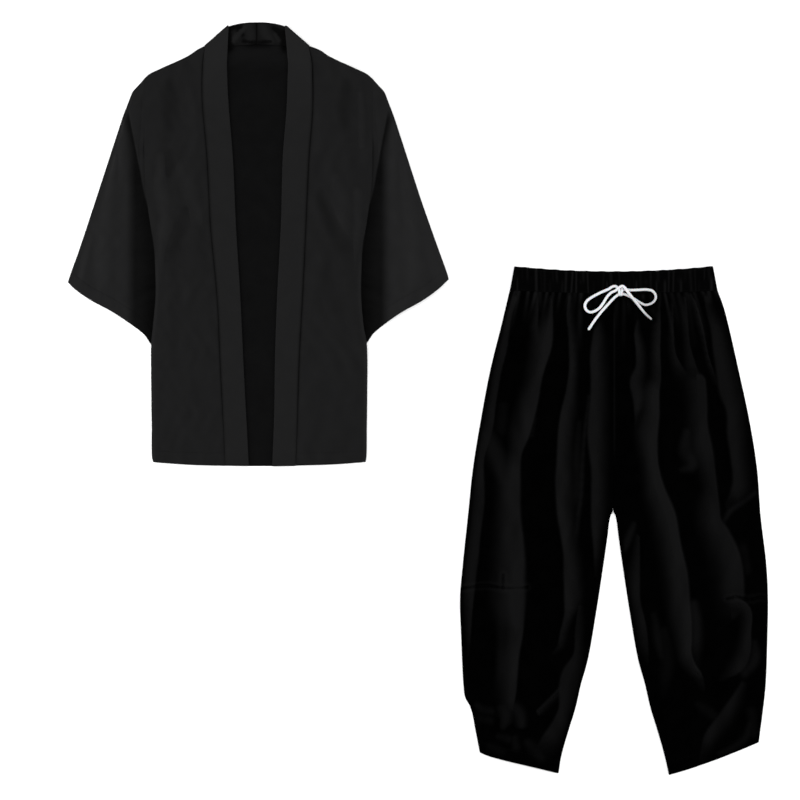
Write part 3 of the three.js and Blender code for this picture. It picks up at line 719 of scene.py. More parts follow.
trouser_seams = []
for name, side in (("right", -1), ("left", 1)):
    knee = np.linspace(*KNEE_SHARES[side], KNEE_ROWS)
    shares = np.unique(np.concatenate([np.linspace(0, 1, LEG_ROWS), knee]))
    u, v, x, y, from_outer, from_inner = leg_grid(side, LEG_COLUMNS, shares)
    edge = np.minimum(from_outer, from_inner)
    crown = CROWN * (1 - np.exp(-edge / 5)) + LEG_PUFF * np.sin(np.pi * u) ** 0.6
    height = 2 * CLOTH + OVER_BACK + crown
    unrest = 2.2 * cloth_ripple(x, y, 61 + side, 70, 150)
    open_cloth = ease(2, 13, nearest_on(np.vstack(cord_plans), x, y))
    drapes = drape_relief(LEG_DRAPES[side], x + unrest, y) * ease(0, 9, edge) * open_cloth
    gathers = gather_relief(u, band_foot_y(x) - y, 11 + side) * open_cloth
    sewn = np.zeros_like(x)
    darts = [smooth_route([(*point, 1.0) for point in dart], 1.5)[0] for dart in KNEE_DARTS[side]]
    for line in darts:
        away = nearest_on(line, x, y)
        sewn += np.exp(-((away / DART_WIDTH) ** 2)) - 0.5 * np.exp(-(((away - DART_BULGE_AT) / 3) ** 2))
    height += DRAPE_LIFT * drapes + gathers - DART_DEPTH * sewn * ease(0, 6, edge)
    height += 0.35 * cloth_ripple(x, y, 5 + side, 38, 260) * ease(0, 14, edge)
    height += hem_relief(v * LEG_LENGTH, x, 15 + side)
    tops = np.stack([x, y, height], axis=-1)
    unders = np.stack([x, y, height - CLOTH], axis=-1)
    # Ridges of the drapes and gathers are painted lighter and their troughs darker, as painted light and
    # shade; the dart grooves are painted darker and the bulges beside them lighter. The mottle is faint
    # random tone.
    mottle = 0.85 + 0.16 * cloth_ripple(x, y, 81 + side, 34, 110)
    shading_and_tone = np.clip((drapes / 8.5 + gathers / 2.4) * mottle - 0.3 * np.clip(sewn, -0.5, 1), 0, 1)
    if side == 1:
        # A painted highlight runs along the upper part of the left front's centre seam.
        shading_and_tone += 0.3 * np.exp(-(((from_inner - 2) / 1.8) ** 2)) * ease(-70, -110, y) * ease(-360, -290, y)
    leg = cloth_shell(f"trouser_front_{name}", tops, unders, trouser_black, TROUSERS_AT, shading_and_tone=shading_and_tone)
    dress(leg, "trouser_cloth", f"leg_front_{name}")
    hem_row = np.interp(HEM_DEPTH / LEG_LENGTH, shares, np.arange(shares.size))
    trouser_seams.append(surface_line(tops, hem_row)[2:-2])
    for line in darts:
        sewn_part = line[2:-2]
        nearest = [np.hypot(x - point[0], y - point[1]).argmin() for point in sewn_part]
        trouser_seams.append(np.column_stack([sewn_part[:, :2], height.ravel()[nearest] + 0.1]))

    _, _, x, y, _, _ = leg_grid(side, BACK_COLUMNS, np.linspace(0, 1, BACK_ROWS))
    tops = np.stack([x, y, np.full_like(x, CLOTH)], axis=-1)
    unders = np.stack([x, y, np.zeros_like(x)], axis=-1)
    leg = cloth_shell(f"trouser_back_{name}", tops, unders, trouser_black, TROUSERS_AT)
    dress(leg, "trouser_cloth", f"leg_back_{name}")

# The waistband is a casing over elastic, sewn into a ring. Lying flat, it has a plain back, two
# round ends and a front that the elastic pulls into 46 narrow gathers. Its left half is a little wider.
BAND_SAG = 10.0
BAND_WALL = 1.9
BAND_THICK = 5.2
BAND_TOP_HALF = 175
BAND_LEFT_WIDER = 1.0135
BAND_GATHERS = 46
BAND_END_STEPS = 9
BAND_BACK_STEPS, BAND_FRONT_STEPS = 61, 461
BAND_STITCH_ROWS = (3, 18)


def band_gathers(x, drop):
    """Height of the waistband's uneven gathers. Some run its whole height, others only part of it."""
    random = np.random.default_rng(23)
    height = np.zeros(np.broadcast(x, drop).shape)
    for i in range(BAND_GATHERS):
        centre = ((i + 0.5 + random.uniform(-0.3, 0.3)) / BAND_GATHERS - 0.5) * 360
        half = random.uniform(2.2, 5.0)
        rise = random.choice([0.3, 0.6, 1.0, 1.5]) * random.uniform(0.8, 1.2)
        start, end = random.choice([-0.6, -0.3, 0.3]), random.choice([0.7, 1.3, 1.6])
        lean = random.uniform(-3, 3)
        reach = ease(start, start + 0.35, drop) * ease(end, end - 0.35, drop)
        away = np.clip(np.abs(x - centre - lean * (drop - 0.5)) / half, 0, 1)
        height += rise * np.cos(away * np.pi / 2) ** 2 * reach
    return height


half_turn = np.pi * np.arange(1, BAND_END_STEPS + 1) / (BAND_END_STEPS + 1)
across = np.concatenate([
    np.linspace(1, -1, BAND_BACK_STEPS), np.full(BAND_END_STEPS, -1.0),
    np.linspace(-1, 1, BAND_FRONT_STEPS), np.full(BAND_END_STEPS, 1.0),
])
turn = np.concatenate([
    np.zeros(BAND_BACK_STEPS), half_turn, np.full(BAND_FRONT_STEPS, np.pi), np.pi + half_turn,
])
drop = np.concatenate([[0, 0.02], np.linspace(0.06, 0.94, 17), [0.98, 1]])[:, None]
front = turn == np.pi
fold = BAND_THICK / 2
band_skins = []
for inset in (0, BAND_WALL):
    half_width = BAND_TOP_HALF + (WAIST_HALF - BAND_TOP_HALF) * drop - fold
    radius = fold - inset
    x = across * half_width - np.sin(turn) * radius
    x = np.where(x > 0, BAND_LEFT_WIDER * x, x)
    flat_middle = 0.35 + 0.65 * np.sin(np.pi * np.clip(drop * 1.02, 0.02, 1)) ** 0.5
    ripple = np.where(front, band_gathers(x, drop) * flat_middle * ease(1, 0.97, np.abs(across)), 0)
    sag = (BAND_SAG + (BAND_FOOT_SAG - BAND_SAG) * drop) * (1 - (x / WAIST_HALF) ** 2)
    sewn = 0.45 * np.exp(-(((drop - 0.9) / 0.025) ** 2)) + 0.3 * np.exp(-(((drop - 0.1) / 0.03) ** 2))
    z = fold - np.cos(turn) * radius + ripple - np.where(front, sewn, 0)
    y = BAND_FOOT * drop - sag + np.where(front, 0.5 * np.sin(x / 4.3) * ease(0.1, 0, drop), 0)
    band_skins.append(np.stack([x, y, z], axis=-1))
# Along the front the gathers' ridges are painted lighter, as painted light.
shading_and_tone = np.where(front, np.clip(0.1 + band_gathers(x, drop) / 2.4, 0, 0.75), 0)
band = cloth_shell("waistband_casing", *band_skins, trouser_black, TROUSERS_AT, ring=True, shading_and_tone=shading_and_tone)
dress(band, "waistband_cloth", "waistband")
for row in BAND_STITCH_ROWS:
    trouser_seams.append(band_skins[0][row, front][6:-6])

# The seams are sewn with black polyester thread. Each stitch is a short length of thread that dips
# into the cloth at both ends, laid along the seam by the same rule for the whole garment.
THREAD_RADIUS = 0.16
STITCH_LENGTH = 2.5
STITCH_PITCH = 3.1

black_thread = new_material(
    "black_thread", {"Base Color": (0.0013, 0.0013, 0.0013, 1), "Roughness": 0.45, "Specular IOR Level": 0.03}
)


def stitch_tree():
    """Geometry nodes that lay stitches along every line of a mesh of edges."""
    tree = bpy.data.node_groups.new("stitches", "GeometryNodeTree")
    for label, kind in (
        ("Seam lines", "Geometry"), ("Pitch", "Float"), ("Stitch length", "Float"),
        ("Thread radius", "Float"), ("Thread", "Material"),
    ):
        tree.interface.new_socket(label, in_out="INPUT", socket_type=f"NodeSocket{kind}")
    tree.interface.new_socket("Stitches", in_out="OUTPUT", socket_type="NodeSocketGeometry")
    kinds = {
        "given": "NodeGroupInput", "line": "GeometryNodeMeshToCurve", "holes": "GeometryNodeCurveToPoints",
        "thread": "GeometryNodeMeshCylinder", "uneven": "FunctionNodeRandomValue",
        "sew": "GeometryNodeInstanceOnPoints", "whole": "GeometryNodeRealizeInstances",
        "colour": "GeometryNodeSetMaterial", "made": "NodeGroupOutput",
    }
    node = {key: tree.nodes.new(kind) for key, kind in kinds.items()}
    node["holes"].mode = "LENGTH"
    node["thread"].fill_type = "TRIANGLE_FAN"
    node["thread"].inputs["Vertices"].default_value = 6
    node["uneven"].data_type = "FLOAT_VECTOR"
    node["uneven"].inputs["Min"].default_value = (0.9, 0.9, 0.8)
    node["uneven"].inputs["Max"].default_value = (1.15, 1.15, 1.05)
    node["uneven"].inputs["Seed"].default_value = 7
    for source, out, target, into in (
        ("given", "Seam lines", "line", "Mesh"), ("line", "Curve", "holes", "Curve"),
        ("given", "Pitch", "holes", "Length"), ("given", "Stitch length", "thread", "Depth"),
        ("given", "Thread radius", "thread", "Radius"), ("holes", "Points", "sew", "Points"),
        ("holes", "Rotation", "sew", "Rotation"), ("thread", "Mesh", "sew", "Instance"),
        ("uneven", "Value", "sew", "Scale"), ("sew", "Instances", "whole", "Geometry"),
        ("whole", "Geometry", "colour", "Geometry"), ("given", "Thread", "colour", "Material"),
        ("colour", "Geometry", "made", "Stitches"),
    ):
        tree.links.new(node[source].outputs[out], node[target].inputs[into])
    return tree


stitches = stitch_tree()


def sew(name, lines, at):
    """One plain mesh of stitches along lines of points in millimetres."""
    points, edges = [], []
    for line in lines:
        edges += [(len(points) + i, len(points) + i + 1) for i in range(len(line) - 1)]
        points += (np.asarray(line) * MM + np.array([*at, 0])).tolist()
    mesh = bpy.data.meshes.new(name)
    mesh.from_pydata(points, edges, [])
    row = bpy.data.objects.new(name, mesh)
    bpy.context.scene.collection.objects.link(row)
    maker = row.modifiers.new("stitches", "NODES")
    maker.node_group = stitches
    sizes = {
        "Pitch": STITCH_PITCH * MM, "Stitch length": STITCH_LENGTH * MM, "Thread radius": THREAD_RADIUS * MM,
        "Thread": black_thread,
    }
    for socket in stitches.interface.items_tree:
        if socket.name in sizes:
            maker[socket.identifier] = sizes[socket.name]
    made = bpy.data.meshes.new_from_object(row.evaluated_get(bpy.context.evaluated_depsgraph_get()))
    row.modifiers.remove(maker)
    row.data = made
    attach(row, "root")
    return row


sew("trouser_stitching", trouser_seams, TROUSERS_AT)

# The jacket's back is one panel, with the neck cut as a shallow arch. Its reverse shows in the open
# front; it is duller than the face, and painted darker than it as painted shade.
jacket_black = black_weave("jacket_black", (0.0008, 0.0008, 0.0008), (0.0147, 0.0147, 0.015), 0.002, 0.012)
jacket_reverse_shaded = black_weave("jacket_reverse_shaded", (0.0004, 0.0004, 0.0004), (0.0096, 0.0096, 0.0099), 0.0, 0.012)

NECK_Y = 736.0
NECK_RISE = 5.0
NECK_TUCK = 0.4
ARMHOLE_X = 203.0
ARMHOLE_POINTS = 60
SIDE_X = 189.0
PANEL_ROWS, PANEL_COLUMNS = 150, 80
REVERSE_SHADE_TONE = 0.19
CUFF_END_Y = 202.0
SHOULDER = [(97, 735.5), (109, 730.6), (125, 720), (148, 708.7), (171, 698.2), (193, 687.5), (ARMHOLE_X, 679)]
UNDERARM_SEAM = [
    (ARMHOLE_X, 679), (ARMHOLE_X, 600), (ARMHOLE_X, 545), (196, 500), (182, 450), (170, 400), (165, 341),
    (166, 280), (170, CUFF_END_Y),
]


def hem_y(x):
    return -HEM_DROP * (1 - (x / SIDE_X) ** 2)


def neck_y(x):
    """The back neck's seam, a shallow arch with its top at the centre back."""
    return NECK_Y + NECK_RISE * np.clip(1 - (x / 60) ** 2, 0, 1)


armhole = seam_line(UNDERARM_SEAM)(np.linspace(1, 0, ARMHOLE_POINTS))
half_widths = np.array([
    (184, 0), (SIDE_X, 14), (SIDE_X, CUFF_END_Y - 5.5), (170, CUFF_END_Y - 5), *map(tuple, armhole),
    *SHOULDER[-2:0:-1], (93, NECK_Y + NECK_TUCK),
])
even_levels = np.linspace(0, NECK_Y + NECK_TUCK, PANEL_ROWS)
levels = np.unique(np.concatenate([even_levels, half_widths[:, 1]]))[:, None]
u = np.linspace(-1, 1, PANEL_COLUMNS)[None, :]
x = u * np.interp(levels, half_widths[:, 1], half_widths[:, 0])
y = levels + hem_y(x) * ease(60, 0, levels) + (neck_y(x) - NECK_Y) * ease(690, NECK_Y, levels)
height = CLOTH + 0.2 * (1 + cloth_ripple(x, y, 31, 60, 400)) * ease(1, 0.9, np.abs(u)) * ease(0, 20, levels)
tops = np.stack([x, y, height], axis=-1)
unders = np.stack([x, y, height - CLOTH], axis=-1)
# Painted shadow: dark pits at both sides of the neck and a soft dark smudge along the middle of the neck
# seam. The whole reverse is painted in shade, a little lighter just below the neck.
pit_shadows = sum(np.exp(-(((x - at) / 7) ** 2) - ((y - 737) / 9) ** 2) for at in (-52, 47))
shade = 0.25 * np.exp(-(((y - neck_y(x)) / 7) ** 2)) * ease(34, 12, np.abs(x))
shading_and_tone = np.clip(REVERSE_SHADE_TONE + 0.1 * ease(690, 730, y) - 0.5 * pit_shadows - shade, 0, 1)
back = cloth_shell("jacket_back_panel", tops, unders, jacket_reverse_shaded, JACKET_AT, shading_and_tone=shading_and_tone)
dress(back, "jacket_cloth", "jacket_back")

# Each front panel hangs from the shoulder to the hem beside the collar band. Its outer edge is
# turned under where it lies over the sleeve, and along the side seam below it.
FRONT_PUFF = 3.0
LAYER = 1.8
FRONT_TOP = 3.3
ROLL = 1.05
TURNED_UNDER = 9.0
UNDER_COLLAR = 0.4
FRONT_TONE = 0.4
FRONT_ROWS = 190
FLAP_STEPS, ROLL_STEPS, FACE_STEPS = 5, 9, 88
SIDE_EDGES = {
    -1: [(186.5, 0), (188.4, 6), (189.3, 16), (189.3, 60), (190, 110), (190, 210)],
    1: [(190, 0), (191.3, 6), (192, 16), (192.4, 60), (193, 110), (192.4, 210)],
}
ARMHOLE_EDGE = [
    (187, 240), (182, 300), (183, 344), (185, 385), (190, 412), (196, 452), (200.5, 485), (202.4, 535),
    (ARMHOLE_X, 600), (ARMHOLE_X, 679),
]
COLLAR_TABLES = {
    -1: [
        (-6, -17, -58.5), (53, -20, -61), (160, -25.7, -66.6), (293, -32, -72.8), (417, -39.6, -84.3),
        (536, -45, -90.5), (648, -53.7, -99.4), (706, -55.8, -98.4),
    ],
    1: [
        (-6, 24.8, 66), (83, 28.2, 69), (181, 29.6, 72), (293, 33.4, 78), (426, 40.3, 84.3),
        (541, 43.4, 89.6), (625, 50, 95.9), (706, 53, 95.2),
    ],
}
NECK_CORNERS = {-1: (-93.8, 738.4), 1: (88.8, 738.4)}
FRONT_DRAPES = {
    -1: [
        (-2.4, 0, [(-154, 672, 9), (-154, 640, 14), (-156, 600, 12), (-158, 575, 8)]),
        (-2.0, 0, [(-156, 548, 8), (-156, 530, 10), (-158, 512, 7)]),
        (-1.9, 0, [(-128, 446, 8), (-134, 425, 12), (-143, 395, 14), (-153, 365, 12), (-156, 338, 8)]),
        (2.4, 0, [
            (-172, 540, 7), (-172, 500, 9), (-164, 455, 12), (-163, 420, 12), (-174, 380, 9), (-176, 320, 7),
        ]),
        (1.3, 0, [(-133, 520, 12), (-118, 470, 14), (-108, 430, 12)]),
        (1.0, 0, [(-120, 660, 10), (-118, 600, 14), (-112, 540, 10)]),
        (-1.2, 0, [(-88, 430, 12), (-88, 380, 14), (-84, 330, 10)]),
    ],
    1: [
        (-2.4, 0, [(157, 672, 9), (156, 640, 14), (157, 600, 12), (160, 575, 8)]),
        (2.2, 0, [(182, 655, 4), (184, 610, 6), (184, 560, 5)]),
        (2.2, 0, [(138, 505, 8), (143, 470, 12), (154, 432, 12), (160, 400, 8)]),
        (-2.1, 0, [(112, 478, 8), (118, 450, 12), (136, 410, 13), (156, 376, 13), (166, 345, 9)]),
        (2.0, 0, [(176, 480, 7), (178, 430, 9), (176, 385, 7), (172, 350, 5)]),
        (1.2, 0, [(94, 650, 8), (98, 600, 12), (104, 560, 10)]),
        (-1.2, 0, [(124, 350, 9), (128, 310, 12), (134, 270, 9)]),
    ],
}


def rolled_share(width):
    """Shares across a front whose outer edge is turned under: the flap, a half-round roll, then the
    face. Also the angle round the roll for each share, and the roll's own share."""
    bend = ROLL / width
    under = bend + np.linspace(1, 0.25, FLAP_STEPS, endpoint=False)[None, :] * TURNED_UNDER / width
    angle = np.linspace(0, np.pi, ROLL_STEPS)
    around = bend * (1 - np.sin(angle))[None, :]
    over = bend + (1 - bend) * np.linspace(0, 1, FACE_STEPS + 1)[None, 1:]
    angles = np.concatenate([np.zeros(FLAP_STEPS), angle, np.full(FACE_STEPS, np.pi)])
    return np.concatenate([under, around, over], axis=1), angles, bend


def seam_shade_depth(y):
    """How strong the painted shade beside the collar's seam is: none at the shoulder, and less towards the
    hem.
    """
    return ease(738, 716, y) * (0.4 + 0.6 * ease(10, 140, y))


jacket_seams = []
for name, side in (("right", -1), ("left", 1)):
    collar_seam = [(seam - side * UNDER_COLLAR, y) for y, _, seam in COLLAR_TABLES[side]]
    hem_end = (collar_seam[0][0], hem_y(collar_seam[0][0]))
    neck_corner = NECK_CORNERS[side]
    inner = seam_line([hem_end] + collar_seam[1:] + [neck_corner])
    outer = seam_line([(side * x, y) for x, y in SIDE_EDGES[side] + ARMHOLE_EDGE])
    corner_x = side * SIDE_EDGES[side][0][0]
    hem = seam_line([(corner_x, 0), ((corner_x + hem_end[0]) / 2, hem_y(125) - 0.5), hem_end])
    shoulder = seam_line([(side * x, y) for x, y in SHOULDER[:0:-1]] + [neck_corner])
    rows = np.linspace(0, 1, FRONT_ROWS)[:, None]
    width = np.linalg.norm(inner(rows[:, 0]) - outer(rows[:, 0]), axis=1)[:, None]
    u, angles, bend = rolled_share(width)
    v = np.broadcast_to(rows, u.shape)
    x, y = np.moveaxis(panel_plan(hem, shoulder, outer, inner, u, v), -1, 0)
    over_sleeve = ease(136, 162, np.abs(x)) * ease(162, 196, y)
    puff = FRONT_PUFF * np.sin(np.pi * np.clip(u, 0, 1)) ** 0.8 * ease(-40, 60, y) * ease(735, 640, y)
    inland = ease(0, 0.16, u) * ease(0, 0.16, 1 - u)
    folds = drape_relief(FRONT_DRAPES[side], x, y) * inland
    face = FRONT_TOP + LAYER * over_sleeve + puff + folds + 1.2 * ease(620, 700, y) * ease(0.75, 1, u)
    face += 0.3 * cloth_ripple(x, y, 41 + side, 55, 380) * inland
    face_start = FLAP_STEPS + ROLL_STEPS
    edge_face = face[:, face_start : face_start + 1]
    height = np.where(angles < np.pi, edge_face - ROLL - ROLL * np.cos(angles), face)
    lower = edge_face - ROLL - (ROLL - CLOTH) * np.cos(angles)
    lower = np.where(angles < np.pi, lower, height - CLOTH)
    inner_u = np.where((angles > 0) & (angles < np.pi), bend * (1 - np.sin(angles) * (1 - CLOTH / ROLL)), u)
    inner_plan = panel_plan(hem, shoulder, outer, inner, inner_u, v)
    hemmed = hem_relief(rows * NECK_Y, x, 21 + side) * ease(0.02, 0.05, u)
    tops = np.stack([x, y, height + hemmed], axis=-1)
    unders = np.dstack([inner_plan, lower + np.minimum(hemmed, 0)])
    jacket_seams.append(surface_line(tops, HEM_DEPTH / NECK_Y * (FRONT_ROWS - 1))[face_start + 4 : -2])
    from_collar = (1 - u) * width
    # The face is painted lighter on its folds' ridges and darker in their troughs, as painted light and
    # shade, with painted shade beside the collar's seam. The mottle is faint random tone, and a narrow band
    # along the turned outer edge below the sleeve is lighter.
    mottle = 0.04 * cloth_ripple(x, y, 71 + side, 30, 70)
    seam_shade = 0.3 * np.exp(-((from_collar / 2.6) ** 2)) * seam_shade_depth(y)
    turned_edge_band = 0.12 * np.exp(-((u * width - 3) / 3) ** 2) * ease(390, 330, y)
    shading_and_tone = np.clip(FRONT_TONE + 0.045 * folds + mottle + turned_edge_band - seam_shade, 0, 1)
    front = cloth_shell(f"jacket_front_panel_{name}", tops, unders, jacket_black, JACKET_AT, shading_and_tone=shading_and_tone)
    dress(front, "jacket_cloth", f"jacket_front_{name}")

# Each sleeve is one piece folded along the top of the arm. Its lower edge is tucked in beside the
# body, behind a soft crease, and the front panel's turned edge lies over it.
SLEEVE_FOLD_HEIGHT = 4.2
SLEEVE_PUFF = 4.2
SLEEVE_LENGTH = 420.0
SLEEVE_TONE = 0.46
SLEEVE_ROWS = 150
UNDER_STEPS, FOLD_STEPS, UPPER_STEPS = 14, 11, 84
OVERARM = [
    (ARMHOLE_X + SEAM_GAP, 679), (214, 667), (223, 657), (230, 640), (240, 614), (247, 593), (262, 547),
    (290, 461),
]
CUFFS = {
    -1: [
        (338, 319), (326.5, 307.5), (298, 287.6), (259, 266.3), (227, 245), (200.5, 224), (193, 212),
        (187, 206), (170, CUFF_END_Y),
    ],
    1: [
        (337.6, 324.5), (321.2, 308.9), (292.3, 287.6), (254.5, 266.3), (223.6, 245), (200.5, 225),
        (194, 214), (187, 207), (170, CUFF_END_Y),
    ],
}
ARM_ENDS = {-1: [(318.2, 376), (334.6, 330)], 1: [(320, 376), (335.4, 333)]}
SLEEVE_DRAPES = [
    (2.6, 0, [(252, 540, 5), (262, 480, 8), (270, 410, 12), (272, 340, 14), (270, 290, 9)]),
    (1.6, 0, [(238, 600, 5), (240, 560, 8), (242, 500, 6)]),
    (1.8, 0, [(300, 400, 6), (308, 360, 9), (314, 330, 7)]),
]
TUCK_EDGE = [
    (182, 280), (182, 344), (184, 372), (189, 408), (196, 451), (201.5, 472), (206, 493), (209.5, 515),
    (214, 536), (218, 557), (222, 579), (226, 600), (229, 621),
]
for name, side in (("right", -1), ("left", 1)):
    overarm = seam_line([(side * x, y) for x, y in OVERARM + ARM_ENDS[side] + CUFFS[side][:1]])
    seam = seam_line([(side * (x - 1.6 * ease(550, 600, y)), y) for x, y in UNDERARM_SEAM])
    shoulder_end = seam_line([(side * (ARMHOLE_X + SEAM_GAP), y) for y in (679, 678.5)])
    cuff = seam_line([(side * x, y) for x, y in CUFFS[side]])
    rows = np.linspace(0, 1, SLEEVE_ROWS)[:, None]
    width = np.linalg.norm(seam(rows[:, 0]) - overarm(rows[:, 0]), axis=1)[:, None]
    middle = SLEEVE_FOLD_HEIGHT / 2
    bend = np.minimum(middle / np.maximum(width, 0.01), 0.3)
    under_share = bend + (1 - bend) * np.linspace(1, 0, UNDER_STEPS, endpoint=False)[None, :]
    angle = np.linspace(0, np.pi, FOLD_STEPS)[None, :]
    upper_share = bend + (1 - bend) * np.linspace(0, 1, UPPER_STEPS + 1)[None, 1:]
    u = np.concatenate([under_share, bend * (1 - np.sin(angle)), upper_share], axis=1)
    v = np.broadcast_to(rows, u.shape)
    inner_bend = bend * (1 - np.sin(angle) * (1 - CLOTH / middle))
    inner_u = np.concatenate([under_share, inner_bend, upper_share], axis=1)
    x, y = np.moveaxis(panel_plan(shoulder_end, cuff, overarm, seam, u, v), -1, 0)
    inner_plan = panel_plan(shoulder_end, cuff, overarm, seam, inner_u, v)
    out = np.abs(x)
    tucked = 2.2 + 2.8 * ease(547, 590, y)
    loft = SLEEVE_PUFF * np.sin(np.pi * np.clip(u * 1.25, 0, 1)) ** 0.7 * ease(682, 600, y)
    folds = drape_relief(SLEEVE_DRAPES, out, y) * ease(0, 0.15, u) * ease(1, 0.85, u)
    tuck_x = np.interp(y, [row[1] for row in TUCK_EDGE], [row[0] for row in TUCK_EDGE])
    shade_end = np.maximum(225, tuck_x + 7)
    shaded = ease(shade_end + 9, shade_end - 9, out) * ease(tuck_x - 2, tuck_x + 2, out) * ease(630, 606, y)
    spread = SLEEVE_FOLD_HEIGHT + (tucked - SLEEVE_FOLD_HEIGHT) * ease(0.1, 0.85, u)
    upper = np.maximum(spread + loft + folds - 3.4 * shaded, tucked)
    upper += 0.3 * cloth_ripple(out, y, 51 + side, 45, 300) * ease(0, 0.1, u) * ease(1, 0.9, u)
    upper = SLEEVE_FOLD_HEIGHT + (upper - SLEEVE_FOLD_HEIGHT) * ease(bend, bend + 0.12, u)
    full_angle = np.concatenate([np.zeros(UNDER_STEPS), angle[0], np.full(UPPER_STEPS, np.pi)])[None, :]
    on_top = np.arange(u.shape[1])[None, :] >= UNDER_STEPS + FOLD_STEPS
    height = np.where(on_top, upper, middle - middle * np.cos(full_angle))
    lower = np.where(on_top, upper - CLOTH, middle - (middle - CLOTH) * np.cos(full_angle))
    hemmed = np.where(on_top, hem_relief((1 - rows) * SLEEVE_LENGTH, out, 25 + side), 0)
    hemmed = hemmed * ease(0.03, 0.1, u) * ease(1, 0.93, u)
    outer_skin = np.stack([x, y, height + hemmed], axis=-1)
    inner_skin = np.dstack([inner_plan, lower + np.minimum(hemmed, 0)])
    hem_row = (SLEEVE_ROWS - 1) * (1 - HEM_DEPTH / SLEEVE_LENGTH)
    jacket_seams.append(surface_line(outer_skin, hem_row)[UNDER_STEPS + FOLD_STEPS + 3 : -12])
    # The outer part of the sleeve is painted lighter, as painted light, by a different amount on each side,
    # and the folds' ridges are painted lighter. The mottle is faint random tone. Inside the tuck the sleeve
    # is painted in shadow, lighter towards the shoulder and away from the tuck's edge.
    mottle = 0.04 * cloth_ripple(out, y, 91 + side, 30, 70)
    shading_and_tone = np.clip(SLEEVE_TONE + (0.08 + 0.025 * side) * ease(226, 240, out) + 0.03 * folds + mottle, 0, 1)
    shadow_tone = 0.0002 * np.clip(y - 300, 0, 300) + 0.09 * ease(tuck_x + 4, tuck_x + 32, out)
    shading_and_tone = np.clip(shading_and_tone + (shadow_tone - shading_and_tone) * shaded, 0, 1)
    sleeve = cloth_shell(
        f"jacket_sleeve_panel_{name}", outer_skin, inner_skin, jacket_black, JACKET_AT, shading_and_tone=shading_and_tone
    )
    dress(sleeve, "jacket_cloth", f"jacket_sleeve_{name}")

# The collar band is a doubled, pressed strip in two halves. Each runs up one front, is folded over at
# the side of the neck and lies along the back neck to the centre seam.
COLLAR_HALF = 1.25
COLLAR_CLOTH = 3.0
COLLAR_WIDTH = 42.0
COLLAR_ROWS, COLLAR_COLUMNS = 230, 26
RISE_STEPS, TURN_STEPS, NECK_STEPS = 16, 13, 40
COLLAR_TONE = 0.47
INSIDE_TONE = 0.17
BACK_NECK_Z = 1.5
FOLD_RADIUS = 1.65
CENTRE_BACK_X = -3.0
CENTRE_BACK_TOP = 780.0
NECK_FOLDS = {-1: [(-54.5, 775), (-96, 738.5)], 1: [(49, 775), (91, 738.5)]}
COLLAR_DRAPES = [
    (-5.0, 0, [(-56, 768, 5), (-54, 752, 7), (-52, 736, 8)]),
    (-4.0, 0, [(-50, 768, 4), (-42, 773, 5), (-32, 771, 5)]),
    (-2.5, 0, [(-36, 764, 4), (-28, 758, 4)]),
    (3.4, 0, [(-48, 742, 4), (-42, 752, 6), (-33, 762, 6), (-24, 771, 5)]),
    (2.2, 0, [(-16, 773, 8), (-14, 756, 9), (-18, 746, 6)]),
    (2.6, 0, [(8, 771, 8), (14, 758, 9), (22, 748, 6)]),
    (-4.0, 0, [(27, 770, 4), (35, 765, 5), (42, 756, 5)]),
    (-5.0, 0, [(44, 762, 5), (48, 750, 7), (47, 736, 8)]),
    (1.8, 0, [(36, 748, 4), (30, 758, 5)]),
    (-2.6, 0, [(-26, 747, 4), (-2, 744, 4), (22, 747, 4)]),
]
collar_black = black_weave("collar_black", (0.0008, 0.0008, 0.0008), (0.0147, 0.0147, 0.0149), 0.002, 0.012)
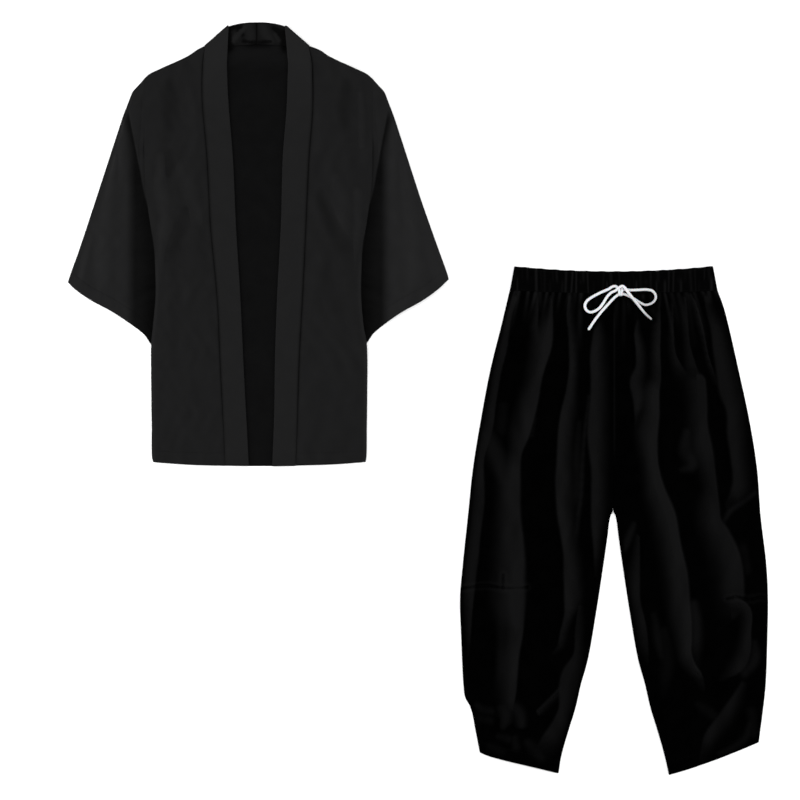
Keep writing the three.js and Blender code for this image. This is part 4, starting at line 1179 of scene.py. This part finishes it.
for name, side in (("right", -1), ("left", 1)):
    free_edge = seam_line([(free, y) for y, free, _ in COLLAR_TABLES[side]])
    seam_edge = seam_line([(seam, y) for y, _, seam in COLLAR_TABLES[side]])
    share = np.linspace(0, 1, COLLAR_ROWS)
    free_side, seam_side = free_edge(share), seam_edge(share)
    free_side[0, 1], seam_side[0, 1] = hem_y(free_side[0, 0]), hem_y(seam_side[0, 0])
    top = COLLAR_CLOTH + SEAM_GAP + BACK_NECK_Z
    low = LAYER + BACK_NECK_Z
    middle_z = low + (top - low) * ease(600, 700, free_side[:, 1])
    stations = [(free, seam, (0, 0), z, 1.0, 0.0) for free, seam, z in zip(free_side, seam_side, middle_z)]
    free_fold, seam_fold = (np.array(point, float) for point in NECK_FOLDS[side])
    fold_line = (seam_fold - free_fold) / np.linalg.norm(seam_fold - free_fold)
    outwards = np.array([fold_line[1], -fold_line[0]]) * -side
    inset = -(FOLD_RADIUS + COLLAR_HALF)
    start_free, start_seam = free_side[-1], seam_side[-1]
    for t in np.linspace(0, 1, RISE_STEPS)[1:-1]:
        shift = outwards * inset * t
        free = start_free + (free_fold - start_free) * t + shift
        seam = start_seam + (seam_fold - start_seam) * t + shift
        stations.append((free, seam, (0, 0), top, 1.0, 0.0))
    for turn in np.linspace(0, np.pi, TURN_STEPS):
        shift = outwards * (inset + FOLD_RADIUS * np.sin(turn))
        z = COLLAR_CLOTH + SEAM_GAP / 2 + FOLD_RADIUS * np.cos(turn)
        stations.append((free_fold + shift, seam_fold + shift, outwards, z, np.cos(turn), np.sin(turn)))
    seam_x = CENTRE_BACK_X + side * SEAM_GAP / 2
    start_free, start_seam = free_fold + outwards * inset, seam_fold + outwards * inset
    for t in np.linspace(0, 1, NECK_STEPS)[1:]:
        arch = CENTRE_BACK_TOP - (CENTRE_BACK_TOP - start_free[1]) * (1 - t) ** 2.5
        free = np.array([start_free[0] + (seam_x - start_free[0]) * t, arch])
        along = start_seam[0] + (seam_x - start_seam[0]) * t
        seam = np.array([along, start_seam[1] + (neck_y(along) - start_seam[1]) * ease(0, 0.3, t)])
        stations.append((free, seam, (0, 0), BACK_NECK_Z, -1.0, 0.0))
    s = 0.5 - 0.5 * np.cos(np.linspace(0, np.pi, COLLAR_COLUMNS))
    outer_rows, inner_rows = [], []
    for free, seam, out, z, up, sideways in stations:
        from_edge = np.minimum(s, 1 - s) * np.linalg.norm(seam - free)
        round_edge = np.sqrt(1 - (1 - np.clip(from_edge, 0, 1)) ** 2)
        thick = COLLAR_HALF * (0.3 + 0.7 * round_edge)
        base = free[None] + (seam - free)[None] * s[:, None]
        lean = np.array(out)[None] * sideways
        outer_rows.append(np.column_stack([base + lean * thick[:, None], z + up * thick]))
        inner_rows.append(np.column_stack([base - lean * thick[:, None], z - up * thick]))
    outer_skin, inner_skin = np.array(outer_rows), np.array(inner_rows)
    # Up the front the face is pressed smooth and a little lighter towards the neck, with painted shade beside
    # its seam; inside the back neck it is creased, with painted light on the creases' ridges and painted
    # shade in their troughs, and it is in painted shade, darkest just past the fold.
    run = np.array([station[0][1] for station in stations])
    turned_back = np.array([station[4] < 0 for station in stations])
    from_fold = np.cumsum(turned_back) / turned_back.sum()
    inside = INSIDE_TONE - 0.16 * np.exp(-((from_fold / 0.1) ** 2))
    level = np.where(turned_back, inside, COLLAR_TONE + 0.1 * ease(560, 760, run))[:, None]
    creased = drape_relief(COLLAR_DRAPES, outer_skin[..., 0], outer_skin[..., 1]) * turned_back[:, None]
    creased *= ease(0.0, 0.06, from_fold)[:, None]
    inner_skin[..., 2] += np.clip(0.35 * creased, -0.7, 0.7)
    centre_line = np.exp(-(((outer_skin[..., 0] - CENTRE_BACK_X) / 1.8) ** 2)) * turned_back[:, None]
    sewn_flat = ease(0.84, 1.0, s)[None, :] * turned_back[:, None]
    outer_skin[..., 2] -= 0.2 * sewn_flat
    inner_skin[..., 2] -= 0.45 * sewn_flat + 0.5 * centre_line
    seam_shade = 0.28 * np.exp(-(((1 - s) * COLLAR_WIDTH / 2.4) ** 2))[None, :] * ~turned_back[:, None]
    seam_shade = seam_shade * seam_shade_depth(run)[:, None]
    shading_and_tone = np.clip(level + 0.075 * creased - 0.2 * centre_line - seam_shade, 0, 1)
    collar = cloth_shell(f"collar_band_{name}", outer_skin, inner_skin, collar_black, JACKET_AT, shading_and_tone=shading_and_tone)
    dress(collar, "collar_cloth", f"jacket_collar_{name}")

sew("jacket_stitching", jacket_seams, JACKET_AT)
